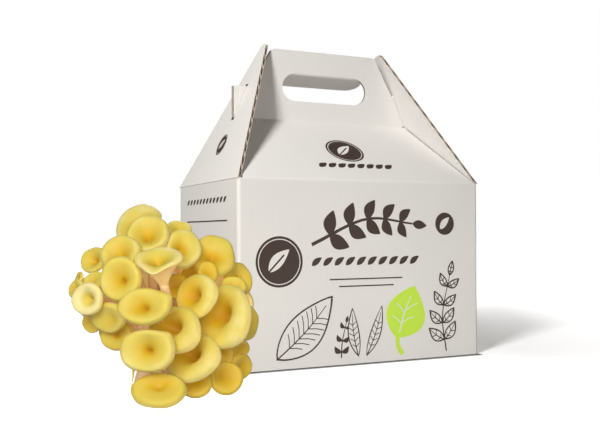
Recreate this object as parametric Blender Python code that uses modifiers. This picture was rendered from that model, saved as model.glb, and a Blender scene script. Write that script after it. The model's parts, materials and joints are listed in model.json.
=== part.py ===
"""A mushroom grow kit: a printed corrugated carton with a carrying handle, the
substrate bag inside it, and a picked cluster of golden oyster mushrooms beside it.

Metres, +Z up.  X runs along the carton's front, Y from its front to its back, and the
origin is the middle of the carton's underside.
"""
import math
from typing import NamedTuple

import bmesh
import bpy
import numpy as np
from mathutils import Matrix, Vector
from mathutils.bvhtree import BVHTree

MM = 0.001
GAP = 0.3 * MM                   # between two solids that touch

# Carton
CARTON_W = 240 * MM              # along X
CARTON_D = 165 * MM              # along Y
WALL_H = 160 * MM
BOARD = 2.8 * MM                 # single-wall corrugated board
CUTTER_DEPTH = 4 * BOARD         # what cuts a hole through the board
FOLD_R = 1.2 * MM                # rounding of the upright folds
FLOOR_T = 2 * BOARD              # the bottom flaps lie on each other

# Lid: two roof panels that meet at a ridge, each going on up as a handle panel
RIDGE_Z = 220.6 * MM
RIDGE_LAP = 1.0 * MM             # how far the roof runs into the handle panel
HANDLE_TOP_Z = 288 * MM
HANDLE_TOP_HALF = 55 * MM
HANDLE_CORNER = 2 * MM           # chamfer of the handle's top corners
HOOK_TOP_Z = 250.4 * MM
HOOK_HALF = 93.7 * MM            # from the middle to a hook's upright edge
NECK_HALF = 75.6 * MM            # handle's half width just above the hooks
HAND_HOLE_W = 90 * MM
HAND_HOLE_H = 26 * MM
HAND_HOLE_Z = 252.6 * MM
HAND_HOLE_STEPS = 8              # straight pieces in each round end
BACK_HOLE_EXTRA = 5 * MM         # how much wider the back lid's hole is, all round
FLAP_DROOP = math.radians(15)    # the front hole's flap is pushed back through both holes

# End panels: upright triangles hinged on the side walls, hooked over the handle
END_LEAN = math.radians(23.6)
END_SLANT = 144 * MM             # from the fold to the tip
END_TIP_R = 11.5 * MM
END_TIP_STEPS = 10
SLOT_FROM = 64 * MM              # up the panel's slant
SLOT_TO = 101.5 * MM
SLOT_HALF = 3.7 * MM

# Substrate bag
BAG_SIZE = (226 * MM, 151 * MM, 118 * MM)
BAG_R = 14 * MM

# Cluster: places below are right, away and up, as seen from the front
CLUSTER_AT = (-196.6 * MM, -135.3 * MM)
CLUSTER_TURN = math.radians(-24.9)
CAP_CLEARANCE = 0.45 * MM
SETTLE_STEP = 0.5 * MM
SETTLE_TRIES = 120
RIM_SIDES = ((8 * MM, 10), (14.3 * MM, 12), (1, 14))   # up to a radius, points around the rim

# Profile of a cap, from the bottom of its dimple over the margin to the stem's top:
# distance from the axis and height, as parts of the radius.  The height of the first
# two rings is a part of the dimple's depth.
DIMPLE_RINGS = ((0.0, -1.0), (0.34, -0.5))
PULL_POWER = 1.5                 # how fast the dimple's shift fades towards the rim
OUTER_RINGS = ((0.68, 0.10), (0.94, 0.01), (0.98, -0.26), (0.52, -0.50))
STEM_RING = (0.21, -0.92)
FLARE_POWER = 1.3                # how a flared underside deepens from the margin to the stem

# Stems
STUMP_R = 21 * MM
STUMP_H = 24 * MM
STUMP_TOP_R = 15 * MM
STEM_FOOT_R = 12 * MM            # stems' feet stand on a ring of this size in the stump
STEM_FOOT_Z = 12 * MM
STEM_BASE_R = 4.6 * MM
STEM_UPRIGHT = 0.55              # how far up a stem its foot's direction reaches
STEM_BEND = 0.45                 # how far along it the cap's direction reaches
STEM_BEND_MOST = 30 * MM
STEM_LOWEST = 6 * MM
PRESS_GAP = 1.3 * GAP            # what the stems keep to the caps
GROUND = 100 * MM
STEM_POINTS = 9
STEM_CLEARANCE = 0.9 * MM        # from a cap's underside to its stem
STEM_THINNEST = 1.9 * MM         # radius
STEM_VOXEL = 1.9 * MM
STEM_FACES_KEPT = 0.043


class Cap(NamedTuple):
    """One mushroom cap: where its rim's middle lies, its size and the way it faces."""
    name: str
    place: tuple        # right, away, up, mm
    radius: float       # mm
    facing: tuple       # right, away, up
    dimple: float       # depth, as a part of the radius
    pull: tuple         # the dimple's shift to the right and up, as parts of the radius
    oval: tuple = (1.0, 0.0)    # width over height, and its turn in degrees
    flare: float = 0.0          # how far its gills run down the stem, as a part of the radius


# The caps of the front, from the nearest to the farthest
FRONT_CAPS = (
    Cap("cap_middle", (-3.5, -55, 67.5), 15.0, (-0.1, -0.95, 0.3), 0.34, (0.0, -0.1), (1.4, 0)),
    Cap("cap_lower_middle", (-2, -55, 38.5), 16.6, (-0.1, -0.98, 0.1), 0.32, (0.05, -0.05), (1.2, 0)),
    Cap("cap_bottom_left", (5, -50, 10), 15.5, (0.0, -0.7, 0.65), 0.14, (0, 0.1), (1.4, 0)),
    Cap("cap_crescent_centre", (12, -40, 50), 19.1, (-0.45, -0.8, 0.4), 0.53, (0.1, 0.08), (1.32, 0)),
    Cap("cap_centre_funnel", (3, -38, 97.5), 14.5, (-0.1, -0.6, 0.8), 0.42, (-0.05, -0.1), (1.2, 0), 0.6),
    Cap("cap_lower_right", (24, -38, 30), 19.0, (-0.4, -0.75, 0.5), 0.6, (0.0, 0.1), (1.2, 0)),
    Cap("cap_left_centre", (-23.5, -36, 84), 15.0, (-0.1, -0.97, 0.12), 0.36, (0.1, -0.12), (0.92, 0)),
    Cap("cap_left_pale", (-47, -33, 70), 11.8, (-0.35, -0.93, 0.05), 0.32, (0.2, 0), (1.1, 0)),
    Cap("cap_left_low", (-34, -33, 56.5), 13.0, (-0.45, -0.85, -0.15), 0.08, (0.35, 0), (1.35, 0)),
    Cap("cap_right_centre", (25.5, -34, 71), 16.6, (-0.45, -0.8, 0.35), 0.58, (0.0, 0.05), (1.0, 0)),
    Cap("cap_bottom_centre", (25.5, -32, 10), 11.5, (0.0, -0.8, 0.5), 0.1, (0, 0), (1.05, 0)),
    Cap("cap_right_large", (44, -27, 56.5), 22.5, (-0.5, -0.8, 0.35), 0.62, (0.02, 0.08), (0.9, 0)),
    Cap("cap_left_upper", (-27, -22, 101.5), 14.3, (-0.2, -0.85, 0.45), 0.36, (0.05, -0.12), (1.02, 0)),
    Cap("cap_under_left", (-30, -24, 44), 12.0, (-0.3, -0.85, 0.1), 0.1, (0, 0), (1.15, 0)),
    Cap("cap_low_left_small", (-49, -20, 51), 7.5, (-0.4, -0.85, -0.3), 0.1, (0, 0), (1.05, 0)),
    Cap("cap_left_small", (-45.5, -20, 82), 7.6, (-0.3, -0.8, 0.5), 0.12, (0, 0), (1.1, 0)),
    Cap("cap_bottom_right", (46, -24, 13), 12.2, (0.2, -0.85, 0.35), 0.13, (-0.2, 0.1)),
    Cap("cap_low_right_small", (43.5, -22, 28.5), 9.0, (0.2, -0.9, -0.05), 0.12, (0, 0), (0.7, 0)),
    Cap("cap_right_inner", (50, -18, 76.5), 9.2, (0.1, -0.75, 0.65), 0.2, (0, 0), (1.05, 0)),
    Cap("cap_far_left_low", (-56, -16, 58.5), 5.8, (-0.8, -0.5, -0.3), 0.15, (0, 0), (1.5, 0)),
    Cap("cap_right_thumb", (33, -14, 86.5), 8.4, (0.2, -0.8, 0.5), 0.08, (0, 0), (0.75, 0)),
    Cap("cap_far_left", (-60, -13, 76), 7.4, (-0.6, -0.7, 0.3), 0.2, (0, 0), (1.1, 0)),
    Cap("cap_top_front", (-10, -12, 114.5), 15.6, (0.0, -0.85, 0.5), 0.42, (0, -0.15), (0.95, 0)),
    Cap("cap_low_right_edge", (55.5, -10, 17), 10.1, (0.65, -0.7, -0.1), 0.12, (0, 0)),
    Cap("cap_left_top_small", (-49, -8, 96), 10.6, (-0.45, -0.8, 0.3), 0.36, (0.15, -0.1), (1.2, 0)),
    Cap("cap_right_folded", (53, -6, 80.5), 12.5, (0.55, -0.75, 0.35), 0.3, (0, 0), (0.9, 0)),
    Cap("cap_top_right", (15.5, -6, 104), 14.2, (0.3, -0.8, 0.4), 0.42, (-0.15, -0.1), (0.8, -15)),
    Cap("cap_right_edge_small", (54.5, -4, 29.5), 7.6, (0.6, -0.7, -0.2), 0.15, (0, 0), (1.3, 0)),
    Cap("cap_far_left_back", (-60.5, -4, 82), 5.8, (-0.8, -0.55, 0.25), 0.2, (0, 0), (1.2, 0)),
    Cap("cap_right_edge", (58.5, -2, 49), 14.0, (0.75, -0.6, 0.1), 0.14, (0, 0)),
    Cap("cap_right_top_large", (35, 2, 98.5), 16.4, (0.1, -0.85, 0.5), 0.34, (-0.1, -0.15), (0.92, 0)),
    Cap("cap_top_back", (-22, 4, 122), 18.0, (-0.25, -0.75, 0.6), 0.3, (0, 0), (0.95, 0)),
    Cap("cap_top_right_back", (9.5, 12, 117.5), 10.0, (0.2, -0.6, 0.75), 0.25, (0, 0), (0.9, 0)),
    Cap("cap_inner_centre", (10.5, -18, 77), 9.0, (0.15, -0.9, 0.3), 0.15, (0, 0), (0.9, 0)),
    Cap("cap_inner_right", (18.5, -10, 83), 9.0, (-0.2, -0.9, 0.2), 0.15, (0, 0), (0.8, 0)),
)

# The caps of the back and the sides
BACK_CAPS = (
    Cap("cap_back_top", (6, 34, 106), 17.5, (0.1, 0.7, 0.7), 0.42, (0, -0.1), (1.15, 0), 0.3),
    Cap("cap_back_upper_left", (-33, 24, 95), 16.5, (-0.5, 0.75, 0.45), 0.36, (0, -0.1), (0.95, 20), 0.4),
    Cap("cap_back_upper_right", (31, 34, 86), 16.0, (0.45, 0.8, 0.4), 0.5, (0.1, 0), (1.1, 0), 0.4),
    Cap("cap_back_centre", (-6, 42, 80), 19.5, (-0.15, 0.97, 0.25), 0.55, (0, -0.1), (1.15, 0), 0.2),
    Cap("cap_back_left", (-47, 18, 66), 15.0, (-0.75, 0.65, 0.1), 0.36, (0, 0), (0.9, 0), 0.4),
    Cap("cap_back_right", (44, 32, 60), 16.5, (0.6, 0.8, 0.15), 0.5, (0, 0), (1.0, 0), 0.4),
    Cap("cap_back_inner_left", (-28, 34, 53), 17.5, (-0.45, 0.9, 0.05), 0.4, (0, -0.1), (1.1, 0), 0.2),
    Cap("cap_back_inner_right", (17, 42, 50), 18.5, (0.25, 0.95, 0.1), 0.58, (0.1, 0), (1.05, 0), 0.2),
    Cap("cap_back_side_left", (-42, 8, 42), 11.0, (-0.9, 0.3, -0.15), 0.2, (0, 0), (1.1, 0), 0.4),
    Cap("cap_back_low_left", (-14, 34, 24), 16.0, (-0.5, 0.85, 0.15), 0.34, (0, 0), (1.15, 0), 0.2),
    Cap("cap_back_low_centre", (13, 40, 17), 15.0, (0.1, 0.9, 0.35), 0.2, (0, 0.1), (1.3, 0), 0.1),
    Cap("cap_back_low_right", (39, 24, 22), 14.5, (0.65, 0.75, 0.1), 0.4, (0, 0), (1.0, 0), 0.3),
)


def clear_scene():
    """Remove whatever the scene holds."""
    for old in list(bpy.data.objects):
        bpy.data.objects.remove(old, do_unlink=True)


def new_collection(name):
    """Return a new collection of the scene."""
    collection = bpy.data.collections.new(name)
    bpy.context.scene.collection.children.link(collection)
    return collection


def material(name, colour, roughness):
    """Return a plain Principled material."""
    mat = bpy.data.materials.new(name)
    mat.use_nodes = True
    shader = mat.node_tree.nodes["Principled BSDF"]
    shader.inputs["Base Color"].default_value = (*colour, 1.0)
    shader.inputs["Roughness"].default_value = roughness
    shader.inputs["Metallic"].default_value = 0.0
    return mat


def add_object(name, mesh, mat, parent=None):
    """Link a named object for a mesh, with its material, into the kit's collection."""
    obj = bpy.data.objects.new(name, mesh)
    mesh.materials.clear()
    mesh.materials.append(mat)
    kit.objects.link(obj)
    obj.parent = parent
    return obj


def add_cutter(name, mesh, collection=None):
    """Link a mesh that only cuts or joins another."""
    obj = bpy.data.objects.new(name, mesh)
    obj.display_type = "WIRE"
    obj.hide_render = True
    (collection or cutters).objects.link(obj)
    return obj


def prism(name, outline, depth):
    """Return a mesh: an outline of points in XY, extruded from z = 0 to z = depth."""
    mesh = bpy.data.meshes.new(name)
    bm = bmesh.new()
    base = bm.faces.new([bm.verts.new((x, y, 0)) for x, y in outline])
    raised = bmesh.ops.extrude_face_region(bm, geom=[base])["geom"]
    bmesh.ops.translate(bm, vec=(0, 0, depth), verts=[v for v in raised if isinstance(v, bmesh.types.BMVert)])
    bmesh.ops.recalc_face_normals(bm, faces=bm.faces)
    bm.to_mesh(mesh)
    bm.free()
    return mesh


def place_mesh(mesh, matrix):
    """Move a mesh by a matrix, its faces kept outwards if the matrix mirrors it."""
    mesh.transform(matrix)
    if matrix.determinant() < 0:
        mesh.flip_normals()


def box_mesh(name, low, high):
    """Return a box between two corners."""
    mesh = bpy.data.meshes.new(name)
    bm = bmesh.new()
    bmesh.ops.create_cube(bm, size=1.0)
    size = [h - l for l, h in zip(low, high)]
    bmesh.ops.scale(bm, vec=size, verts=bm.verts)
    bmesh.ops.translate(bm, vec=[(l + h) / 2 for l, h in zip(low, high)], verts=bm.verts)
    bm.to_mesh(mesh)
    bm.free()
    return mesh


def mitre(mesh, z):
    """Cut a mesh off level at a height and close the cut, so that its foot lies flat."""
    bm = bmesh.new()
    bm.from_mesh(mesh)
    cut = bmesh.ops.bisect_plane(bm, geom=bm.verts[:] + bm.edges[:] + bm.faces[:], plane_co=(0, 0, z),
                                 plane_no=(0, 0, 1), clear_inner=True)
    rim = [e for e in cut["geom_cut"] if isinstance(e, bmesh.types.BMEdge)]
    bmesh.ops.edgenet_fill(bm, edges=rim)
    bmesh.ops.recalc_face_normals(bm, faces=bm.faces)
    bm.to_mesh(mesh)
    bm.free()


def round_upright_edges(mesh, radius, segments):
    """Bevel the four upright edges at the outside of a box-like mesh."""
    bm = bmesh.new()
    bm.from_mesh(mesh)
    reach = max(abs(v.co.x) for v in bm.verts)
    upright = [e for e in bm.edges
               if abs((e.verts[0].co - e.verts[1].co).normalized().z) > 0.99
               and abs(abs(e.verts[0].co.x) - reach) < 1e-6]
    bmesh.ops.bevel(bm, geom=upright, offset=radius, segments=segments, profile=0.5, affect="EDGES")
    bm.to_mesh(mesh)
    bm.free()


def cut_by(obj, *tools):
    """Cut an object by other ones."""
    for tool in tools:
        boolean = obj.modifiers.new("cut by " + tool.name, "BOOLEAN")
        boolean.operation = "DIFFERENCE"
        boolean.solver = "EXACT"
        boolean.object = tool


def carton_body():
    """The floor and four walls, open at the top."""
    half_w, half_d = CARTON_W / 2, CARTON_D / 2
    mesh = box_mesh("carton_body", (-half_w, -half_d, 0), (half_w, half_d, WALL_H))
    round_upright_edges(mesh, FOLD_R, 3)
    body = add_object("carton_body", mesh, card)
    room = box_mesh("carton room", (BOARD - half_w, BOARD - half_d, FLOOR_T),
                    (half_w - BOARD, half_d - BOARD, WALL_H + BOARD))
    cut_by(body, add_cutter("carton room", room))
    return body


def end_face_x(z, inner):
    """Half the carton's width between the end panels' outer or inner faces at a height."""
    x = CARTON_W / 2 - (z - WALL_H) * math.tan(END_LEAN)
    return x - BOARD / math.cos(END_LEAN) if inner else x


def roof_panel(name):
    """One roof panel as a mesh: a flat plate between the wall's top and the ridge."""
    half_d = CARTON_D / 2
    slope = math.atan2(RIDGE_Z - WALL_H, half_d - BOARD - GAP / 2)
    foot = Vector((0, -half_d, WALL_H))
    run = Vector((0, math.cos(slope), math.sin(slope)))
    up = Vector((0, -math.sin(slope), math.cos(slope)))
    length = (RIDGE_Z - WALL_H) / math.sin(slope) + RIDGE_LAP
    clearance = BOARD / 2
    low = end_face_x(WALL_H, True) - clearance
    high = end_face_x(RIDGE_Z, True) - clearance
    outline = [(-low, 0), (low, 0), (high, length), (-high, length)]
    mesh = prism(name, outline, BOARD)
    frame = Matrix(((1, 0, 0, 0),
                    (0, run.y, up.y, foot.y),
                    (0, run.z, up.z, foot.z),
                    (0, 0, 0, 1)))
    place_mesh(mesh, frame @ Matrix.Translation((0, 0, -BOARD)))
    mitre(mesh, WALL_H + GAP)
    return mesh


def handle_outline():
    """Outline of a handle panel in X and Z: its foot inside the ridge, hooks and corners."""
    foot_half = end_face_x(RIDGE_Z, True) - BOARD
    right = [(foot_half, RIDGE_Z - BOARD), (foot_half, RIDGE_Z), (HOOK_HALF, RIDGE_Z),
             (HOOK_HALF, HOOK_TOP_Z), (NECK_HALF, HOOK_TOP_Z)]
    top_edge = Vector((HANDLE_TOP_HALF, HANDLE_TOP_Z))
    neck = Vector((NECK_HALF, HOOK_TOP_Z))
    below = top_edge + (neck - top_edge).normalized() * HANDLE_CORNER
    right += [tuple(below), (HANDLE_TOP_HALF - HANDLE_CORNER, HANDLE_TOP_Z)]
    return right + [(-x, z) for x, z in reversed(right)]


def hand_hole_outline(extra):
    """A slot with round ends, in X and Z, larger by extra all round."""
    r = HAND_HOLE_H / 2 + extra
    reach = (HAND_HOLE_W - HAND_HOLE_H) / 2
    points = []
    for side, start in ((1, -90), (-1, 90)):
        for i in range(HAND_HOLE_STEPS + 1):
            a = math.radians(start + 180 * i / HAND_HOLE_STEPS)
            points.append((side * reach + r * math.cos(a), HAND_HOLE_Z + r * math.sin(a)))
    return points


def hand_flap():
    """The card left in the front hand hole, bent back about the hole's upper edge."""
    top = HAND_HOLE_Z + HAND_HOLE_H / 2
    outline = [(x, top - z) for x, z in hand_hole_outline(-GAP)]
    mesh = prism("hand flap", outline, BOARD)
    root = Vector((0, -BOARD / 2, top + BOARD / 2))
    c, s = math.cos(FLAP_DROOP), math.sin(FLAP_DROOP)
    place_mesh(mesh, Matrix(((1, 0, 0, 0), (0, c, s, root.y), (0, -s, c, root.z), (0, 0, 0, 1)))
               @ Matrix.Translation((0, 0, -BOARD)))
    return mesh


def join_to(obj, name, mesh):
    """Join a mesh to an object."""
    union = obj.modifiers.new("join " + name, "BOOLEAN")
    union.operation = "UNION"
    union.solver = "EXACT"
    union.object = add_cutter(name, mesh)


def lid(name, side):
    """A roof panel and the handle panel above it, bent from one sheet.

    side is -1 for the front lid and 1 for the back one.
    """
    upright = Matrix.Rotation(math.radians(90), 4, "X")
    handle = prism(name, handle_outline(), BOARD)
    handle.transform(upright)
    handle.transform(Matrix.Translation((0, -GAP / 2, 0)))
    extra = BACK_HOLE_EXTRA if side > 0 else 0
    hole = prism("hand hole", hand_hole_outline(extra), CUTTER_DEPTH)
    hole.transform(upright)
    hole.transform(Matrix.Translation((0, CUTTER_DEPTH / 4, 0)))
    roof = roof_panel(name + " roof")
    for mesh in (handle, hole, roof):
        if side > 0:
            place_mesh(mesh, Matrix.Rotation(math.pi, 4, "Z"))
    panel = add_object(name, handle, card)
    cut_by(panel, add_cutter(name + " hand hole", hole))
    join_to(panel, name + " roof", roof)
    if side < 0:
        join_to(panel, "hand flap", hand_flap())


def end_outline():
    """Outline of an end panel in its own plane: a triangle with a rounded tip."""
    half = CARTON_D / 2
    centre = END_SLANT - END_TIP_R
    reach = math.hypot(half, centre)
    # the straight edge touches the tip's arc where its normal meets the arc's middle
    turn = math.atan2(centre, half) - math.asin(END_TIP_R / reach)
    start = math.pi / 2 - turn
    arc = [math.radians(90) + start - 2 * start * i / END_TIP_STEPS for i in range(END_TIP_STEPS + 1)]
    tip = [(END_TIP_R * math.cos(a), centre + END_TIP_R * math.sin(a)) for a in reversed(arc)]
    return [(-half, 0), (half, 0)] + tip


def end_panel(name, side):
    """A triangular end panel that leans in from the side wall's top, on its fold."""
    mesh = prism(name, end_outline(), BOARD)
    slot = prism("slot", [(-SLOT_HALF, SLOT_FROM), (SLOT_HALF, SLOT_FROM),
                          (SLOT_HALF, SLOT_TO), (-SLOT_HALF, SLOT_TO)], CUTTER_DEPTH)
    slot.transform(Matrix.Translation((0, 0, -CUTTER_DEPTH / 4)))
    # the panel's own X, Y and Z become the world's Y, the slant and the way inwards
    lean = Matrix(((0, -side * math.sin(END_LEAN), -side * math.cos(END_LEAN), 0),
                   (side, 0, 0, 0),
                   (0, math.cos(END_LEAN), -math.sin(END_LEAN), 0),
                   (0, 0, 0, 1)))
    for shape in (mesh, slot):
        place_mesh(shape, lean)
    mitre(mesh, GAP)
    panel = add_object(name, mesh, card)
    panel.location = (side * CARTON_W / 2, 0, WALL_H)
    tool = add_cutter(name + " slot", slot)
    tool.location = panel.location
    cut_by(panel, tool)
    return panel


def substrate_bag():
    """The bag of substrate on the carton's floor."""
    w, d, h = BAG_SIZE
    base = FLOOR_T + GAP
    mesh = box_mesh("substrate_bag", (-w / 2, -d / 2, base), (w / 2, d / 2, base + h))
    bag = add_object("substrate_bag", mesh, film)
    bevel = bag.modifiers.new("soft edges", "BEVEL")
    bevel.width = BAG_R
    bevel.segments = 3
    return bag


def cap_axes(facing):
    """The cap's right, up and facing directions, as the columns of a matrix."""
    out = Vector(facing).normalized()
    right = Vector((0, 0, 1)).cross(out).normalized()
    return Matrix((right, out.cross(right), out)).transposed()


def flare_share(r):
    """Part of a flare's depth at a distance from the axis: none at the margin, all at the stem."""
    return ((1 - r) / (1 - STEM_RING[0])) ** FLARE_POWER


def cap_points(cap):
    """Points of a cap in its own axes, ring by ring, and the number of points in a ring.

    Each ring is an oval of the profile's distance from the axis, moved towards the
    dimple's shift by how near it is to the dimple, at the profile's height.  A flare
    lowers the underside's rings, the nearer to the stem the more.
    """
    radius = cap.radius * MM
    sides = next(count for limit, count in RIM_SIDES if radius < limit)
    around = np.arange(sides) * 2 * np.pi / sides
    ratio, turn = cap.oval
    stretch = np.array((math.sqrt(ratio), 1 / math.sqrt(ratio)))
    c, s = math.cos(math.radians(turn)), math.sin(math.radians(turn))
    circle = np.stack((np.cos(around), np.sin(around)), 1) * stretch @ np.array(((c, s), (-s, c)))
    upper, lower = OUTER_RINGS[:-1], (OUTER_RINGS[-1], STEM_RING)
    profile = [(r, h * cap.dimple) for r, h in DIMPLE_RINGS] + list(upper)
    profile += [(r, h - cap.flare * flare_share(r)) for r, h in lower]
    rings = []
    for r, h in profile:
        near = (1 - min(r, 1.0)) ** PULL_POWER
        flat = circle * r + np.array(cap.pull) * near
        rings.append(np.column_stack((flat, np.full(sides, h))) * radius)
    return np.array(rings), sides


def cap_mesh(cap, grow=0.0):
    """A cap's closed mesh, pushed out along its normals by grow."""
    rings, sides = cap_points(cap)
    bm = bmesh.new()
    middle = bm.verts.new(rings[0].mean(axis=0))
    rows = [[bm.verts.new(p) for p in ring] for ring in rings[1:]]
    for i in range(sides):
        j = (i + 1) % sides
        bm.faces.new((middle, rows[0][i], rows[0][j]))
        for inner, outer in zip(rows, rows[1:]):
            bm.faces.new((inner[i], outer[i], outer[j], inner[j]))
    bm.faces.new(list(reversed(rows[-1])))
    bmesh.ops.recalc_face_normals(bm, faces=bm.faces)
    bmesh.ops.triangulate(bm, faces=bm.faces)
    if grow:
        bm.normal_update()
        for vert, shift in [(v, v.normal * grow) for v in bm.verts]:
            vert.co += shift
    mesh = bpy.data.meshes.new(cap.name)
    bm.to_mesh(mesh)
    bm.free()
    return mesh


def tree_of(mesh, matrix):
    """A search tree of a mesh's faces, after a matrix."""
    points = [matrix @ v.co for v in mesh.vertices]
    return BVHTree.FromPolygons(points, [tuple(p.vertices) for p in mesh.polygons])


def settle(cap, direction, placed):
    """Slide a cap along a direction until it clears the caps placed before it.

    Returns the cap's matrix in the cluster's frame.
    """
    grown = cap_mesh(cap, CAP_CLEARANCE)
    turn = cap_axes(cap.facing).to_4x4()
    at = Vector(cap.place) * MM
    lowest = min((turn @ v.co).z for v in grown.vertices)
    at.z = max(at.z, -lowest)
    for _ in range(SETTLE_TRIES):
        matrix = Matrix.Translation(at) @ turn
        tree = tree_of(grown, matrix)
        if not any(tree.overlap(other) for other in placed):
            break
        at = at + direction * SETTLE_STEP
    else:
        raise RuntimeError(cap.name + " finds no room")
    placed.append(tree_of(cap_mesh(cap), matrix))
    bpy.data.meshes.remove(grown)
    return matrix


def cap_matrices():
    """Where every cap ends up, in the cluster's frame, by name."""
    placed = []
    matrices = {}
    for cap in FRONT_CAPS:
        matrices[cap.name] = settle(cap, Vector((0, 1, 0)), placed)
    for cap in BACK_CAPS:
        outwards = Vector((cap.facing[0], cap.facing[1], 0)).normalized()
        matrices[cap.name] = settle(cap, outwards, placed)
    return matrices


def stem_path(cap, matrix):
    """Points from under a cap down to the stump, on a cubic curve, and their radii."""
    ring, height = STEM_RING
    radius = cap.radius * MM
    shift = Vector((cap.pull[0], cap.pull[1])) * (1 - ring) ** PULL_POWER * radius
    top = matrix @ Vector((shift.x, shift.y, (height - cap.flare) * radius - STEM_CLEARANCE))
    out = (matrix.to_3x3() @ Vector((0, 0, 1))).normalized()
    aim = Vector((top.x, top.y, 0))
    aim = aim.normalized() * min(STEM_FOOT_R, aim.length)
    foot = Vector((aim.x, aim.y, STEM_FOOT_Z))
    lift = Vector((0, 0, max(top.z - foot.z, 0) * STEM_UPRIGHT))
    bend = min((top - foot).length * STEM_BEND, STEM_BEND_MOST)
    knots = (top, top - out * bend, foot + lift, foot)
    points = []
    for i in range(STEM_POINTS):
        t = i / (STEM_POINTS - 1)
        weights = ((1 - t) ** 3, 3 * t * (1 - t) ** 2, 3 * t * t * (1 - t), t ** 3)
        point = sum((k * w for k, w in zip(knots, weights)), Vector())
        point.z = max(point.z, STEM_LOWEST)
        points.append((point, max(ring * radius, STEM_THINNEST) * (1 - t) + STEM_BASE_R * t))
    return points


def stem_curve(cap, matrix):
    """A stem as a curve with a round section."""
    curve = bpy.data.curves.new(cap.name + " stem", "CURVE")
    curve.dimensions = "3D"
    curve.bevel_depth = 1.0
    curve.bevel_resolution = 2
    curve.use_fill_caps = True
    spline = curve.splines.new("POLY")
    path = stem_path(cap, matrix)
    spline.points.add(len(path) - 1)
    for point, (place, radius) in zip(spline.points, path):
        point.co = (*place, 1.0)
        point.radius = radius
    return curve


def stump_mesh():
    """The foot of the cluster, cut flat: a turned, slightly waisted block."""
    mesh = bpy.data.meshes.new("stump")
    bm = bmesh.new()
    bmesh.ops.create_cone(bm, cap_ends=True, segments=20, radius1=STUMP_R, radius2=STUMP_TOP_R, depth=STUMP_H)
    bmesh.ops.translate(bm, vec=(0, 0, STUMP_H / 2), verts=bm.verts)
    bm.to_mesh(mesh)
    bm.free()
    return mesh


def evaluated_mesh(obj):
    """A mesh of what an object's modifiers make."""
    return bpy.data.meshes.new_from_object(obj.evaluated_get(bpy.context.evaluated_depsgraph_get()))


def join_meshes(name, meshes):
    """One mesh that holds several."""
    bm = bmesh.new()
    for mesh in meshes:
        bm.from_mesh(mesh)
    bmesh.ops.remove_doubles(bm, verts=bm.verts, dist=1e-6)
    joined = bpy.data.meshes.new(name)
    bm.to_mesh(joined)
    bm.free()
    return joined


def keep_largest_piece(mesh):
    """Delete all but the largest connected piece of a mesh."""
    bm = bmesh.new()
    bm.from_mesh(mesh)
    left = set(bm.verts)
    pieces = []
    while left:
        todo = [left.pop()]
        piece = set(todo)
        while todo:
            for edge in todo.pop().link_edges:
                for vert in edge.verts:
                    if vert in left:
                        left.discard(vert)
                        piece.add(vert)
                        todo.append(vert)
        pieces.append(piece)
    pieces.sort(key=len)
    for piece in pieces[:-1]:
        bmesh.ops.delete(bm, geom=list(piece), context="VERTS")
    bmesh.ops.triangulate(bm, faces=bm.faces)
    bm.to_mesh(mesh)
    bm.free()


def stem_cluster(matrices, parent):
    """All stems, grown together at the foot, cut where the caps press into them."""
    tubes = []
    for cap in FRONT_CAPS + BACK_CAPS:
        carrier = bpy.data.objects.new(cap.name + " stem", stem_curve(cap, matrices[cap.name]))
        cutters.objects.link(carrier)
        bpy.context.view_layer.update()
        tubes.append(evaluated_mesh(carrier))
        bpy.data.objects.remove(carrier)
    tubes.append(stump_mesh())
    fused = add_cutter("fused stems", join_meshes("fused stems", tubes))
    remesh = fused.modifiers.new("grow together", "REMESH")
    remesh.mode = "VOXEL"
    remesh.voxel_size = STEM_VOXEL
    thin_out = fused.modifiers.new("fewer faces", "DECIMATE")
    thin_out.ratio = STEM_FACES_KEPT
    presses = new_collection("cap presses")
    for cap in FRONT_CAPS + BACK_CAPS:
        press = add_cutter(cap.name + " press", cap_mesh(cap, PRESS_GAP), presses)
        press.matrix_world = matrices[cap.name]
    below = box_mesh("below the cut", (-GROUND, -GROUND, -GROUND), (GROUND, GROUND, 0))
    add_cutter("below the cut", below, presses)
    press_in = fused.modifiers.new("press the caps in", "BOOLEAN")
    press_in.operation = "DIFFERENCE"
    press_in.operand_type = "COLLECTION"
    press_in.collection = presses
    press_in.solver = "EXACT"
    bpy.context.view_layer.update()
    mesh = evaluated_mesh(fused)
    fused.modifiers.clear()
    keep_largest_piece(mesh)
    return add_object("stem_cluster", mesh, stem_flesh, parent)


def cluster():
    """The mushroom cluster: its caps and its stems, on an empty."""
    stand = bpy.data.objects.new("cluster", None)
    kit.objects.link(stand)
    stand.location = (*CLUSTER_AT, 0)
    stand.rotation_euler = (0, 0, CLUSTER_TURN)
    matrices = cap_matrices()
    for cap in FRONT_CAPS + BACK_CAPS:
        obj = add_object(cap.name, cap_mesh(cap), cap_skin, stand)
        obj.matrix_local = matrices[cap.name]
        obj.data.shade_smooth()
    stem_cluster(matrices, stand)


clear_scene()
kit = new_collection("mushroom grow kit")
cutters = new_collection("cutters")
card = material("white corrugated card", (0.72, 0.70, 0.67), 0.75)
film = material("frosted bag film", (0.80, 0.78, 0.72), 0.35)
cap_skin = material("golden cap skin", (0.84, 0.66, 0.16), 0.55)
stem_flesh = material("cream stem flesh", (0.85, 0.72, 0.52), 0.60)
carton_body()
lid("lid_front", -1)
lid("lid_back", 1)
end_panel("end_panel_left", -1)
end_panel("end_panel_right", 1)
substrate_bag()
cluster()
bpy.context.view_layer.update()
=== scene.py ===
"""Looks of an oyster mushroom grow kit: a printed corrugated carton with a carrying
handle and folding end panels, the substrate bag inside it, and a picked cluster of golden
oyster mushrooms beside it.

The file is laid out as a Blender add-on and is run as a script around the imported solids.
Metres, +Z up; X runs along the carton's front and Y from its front to its back.
"""

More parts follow.
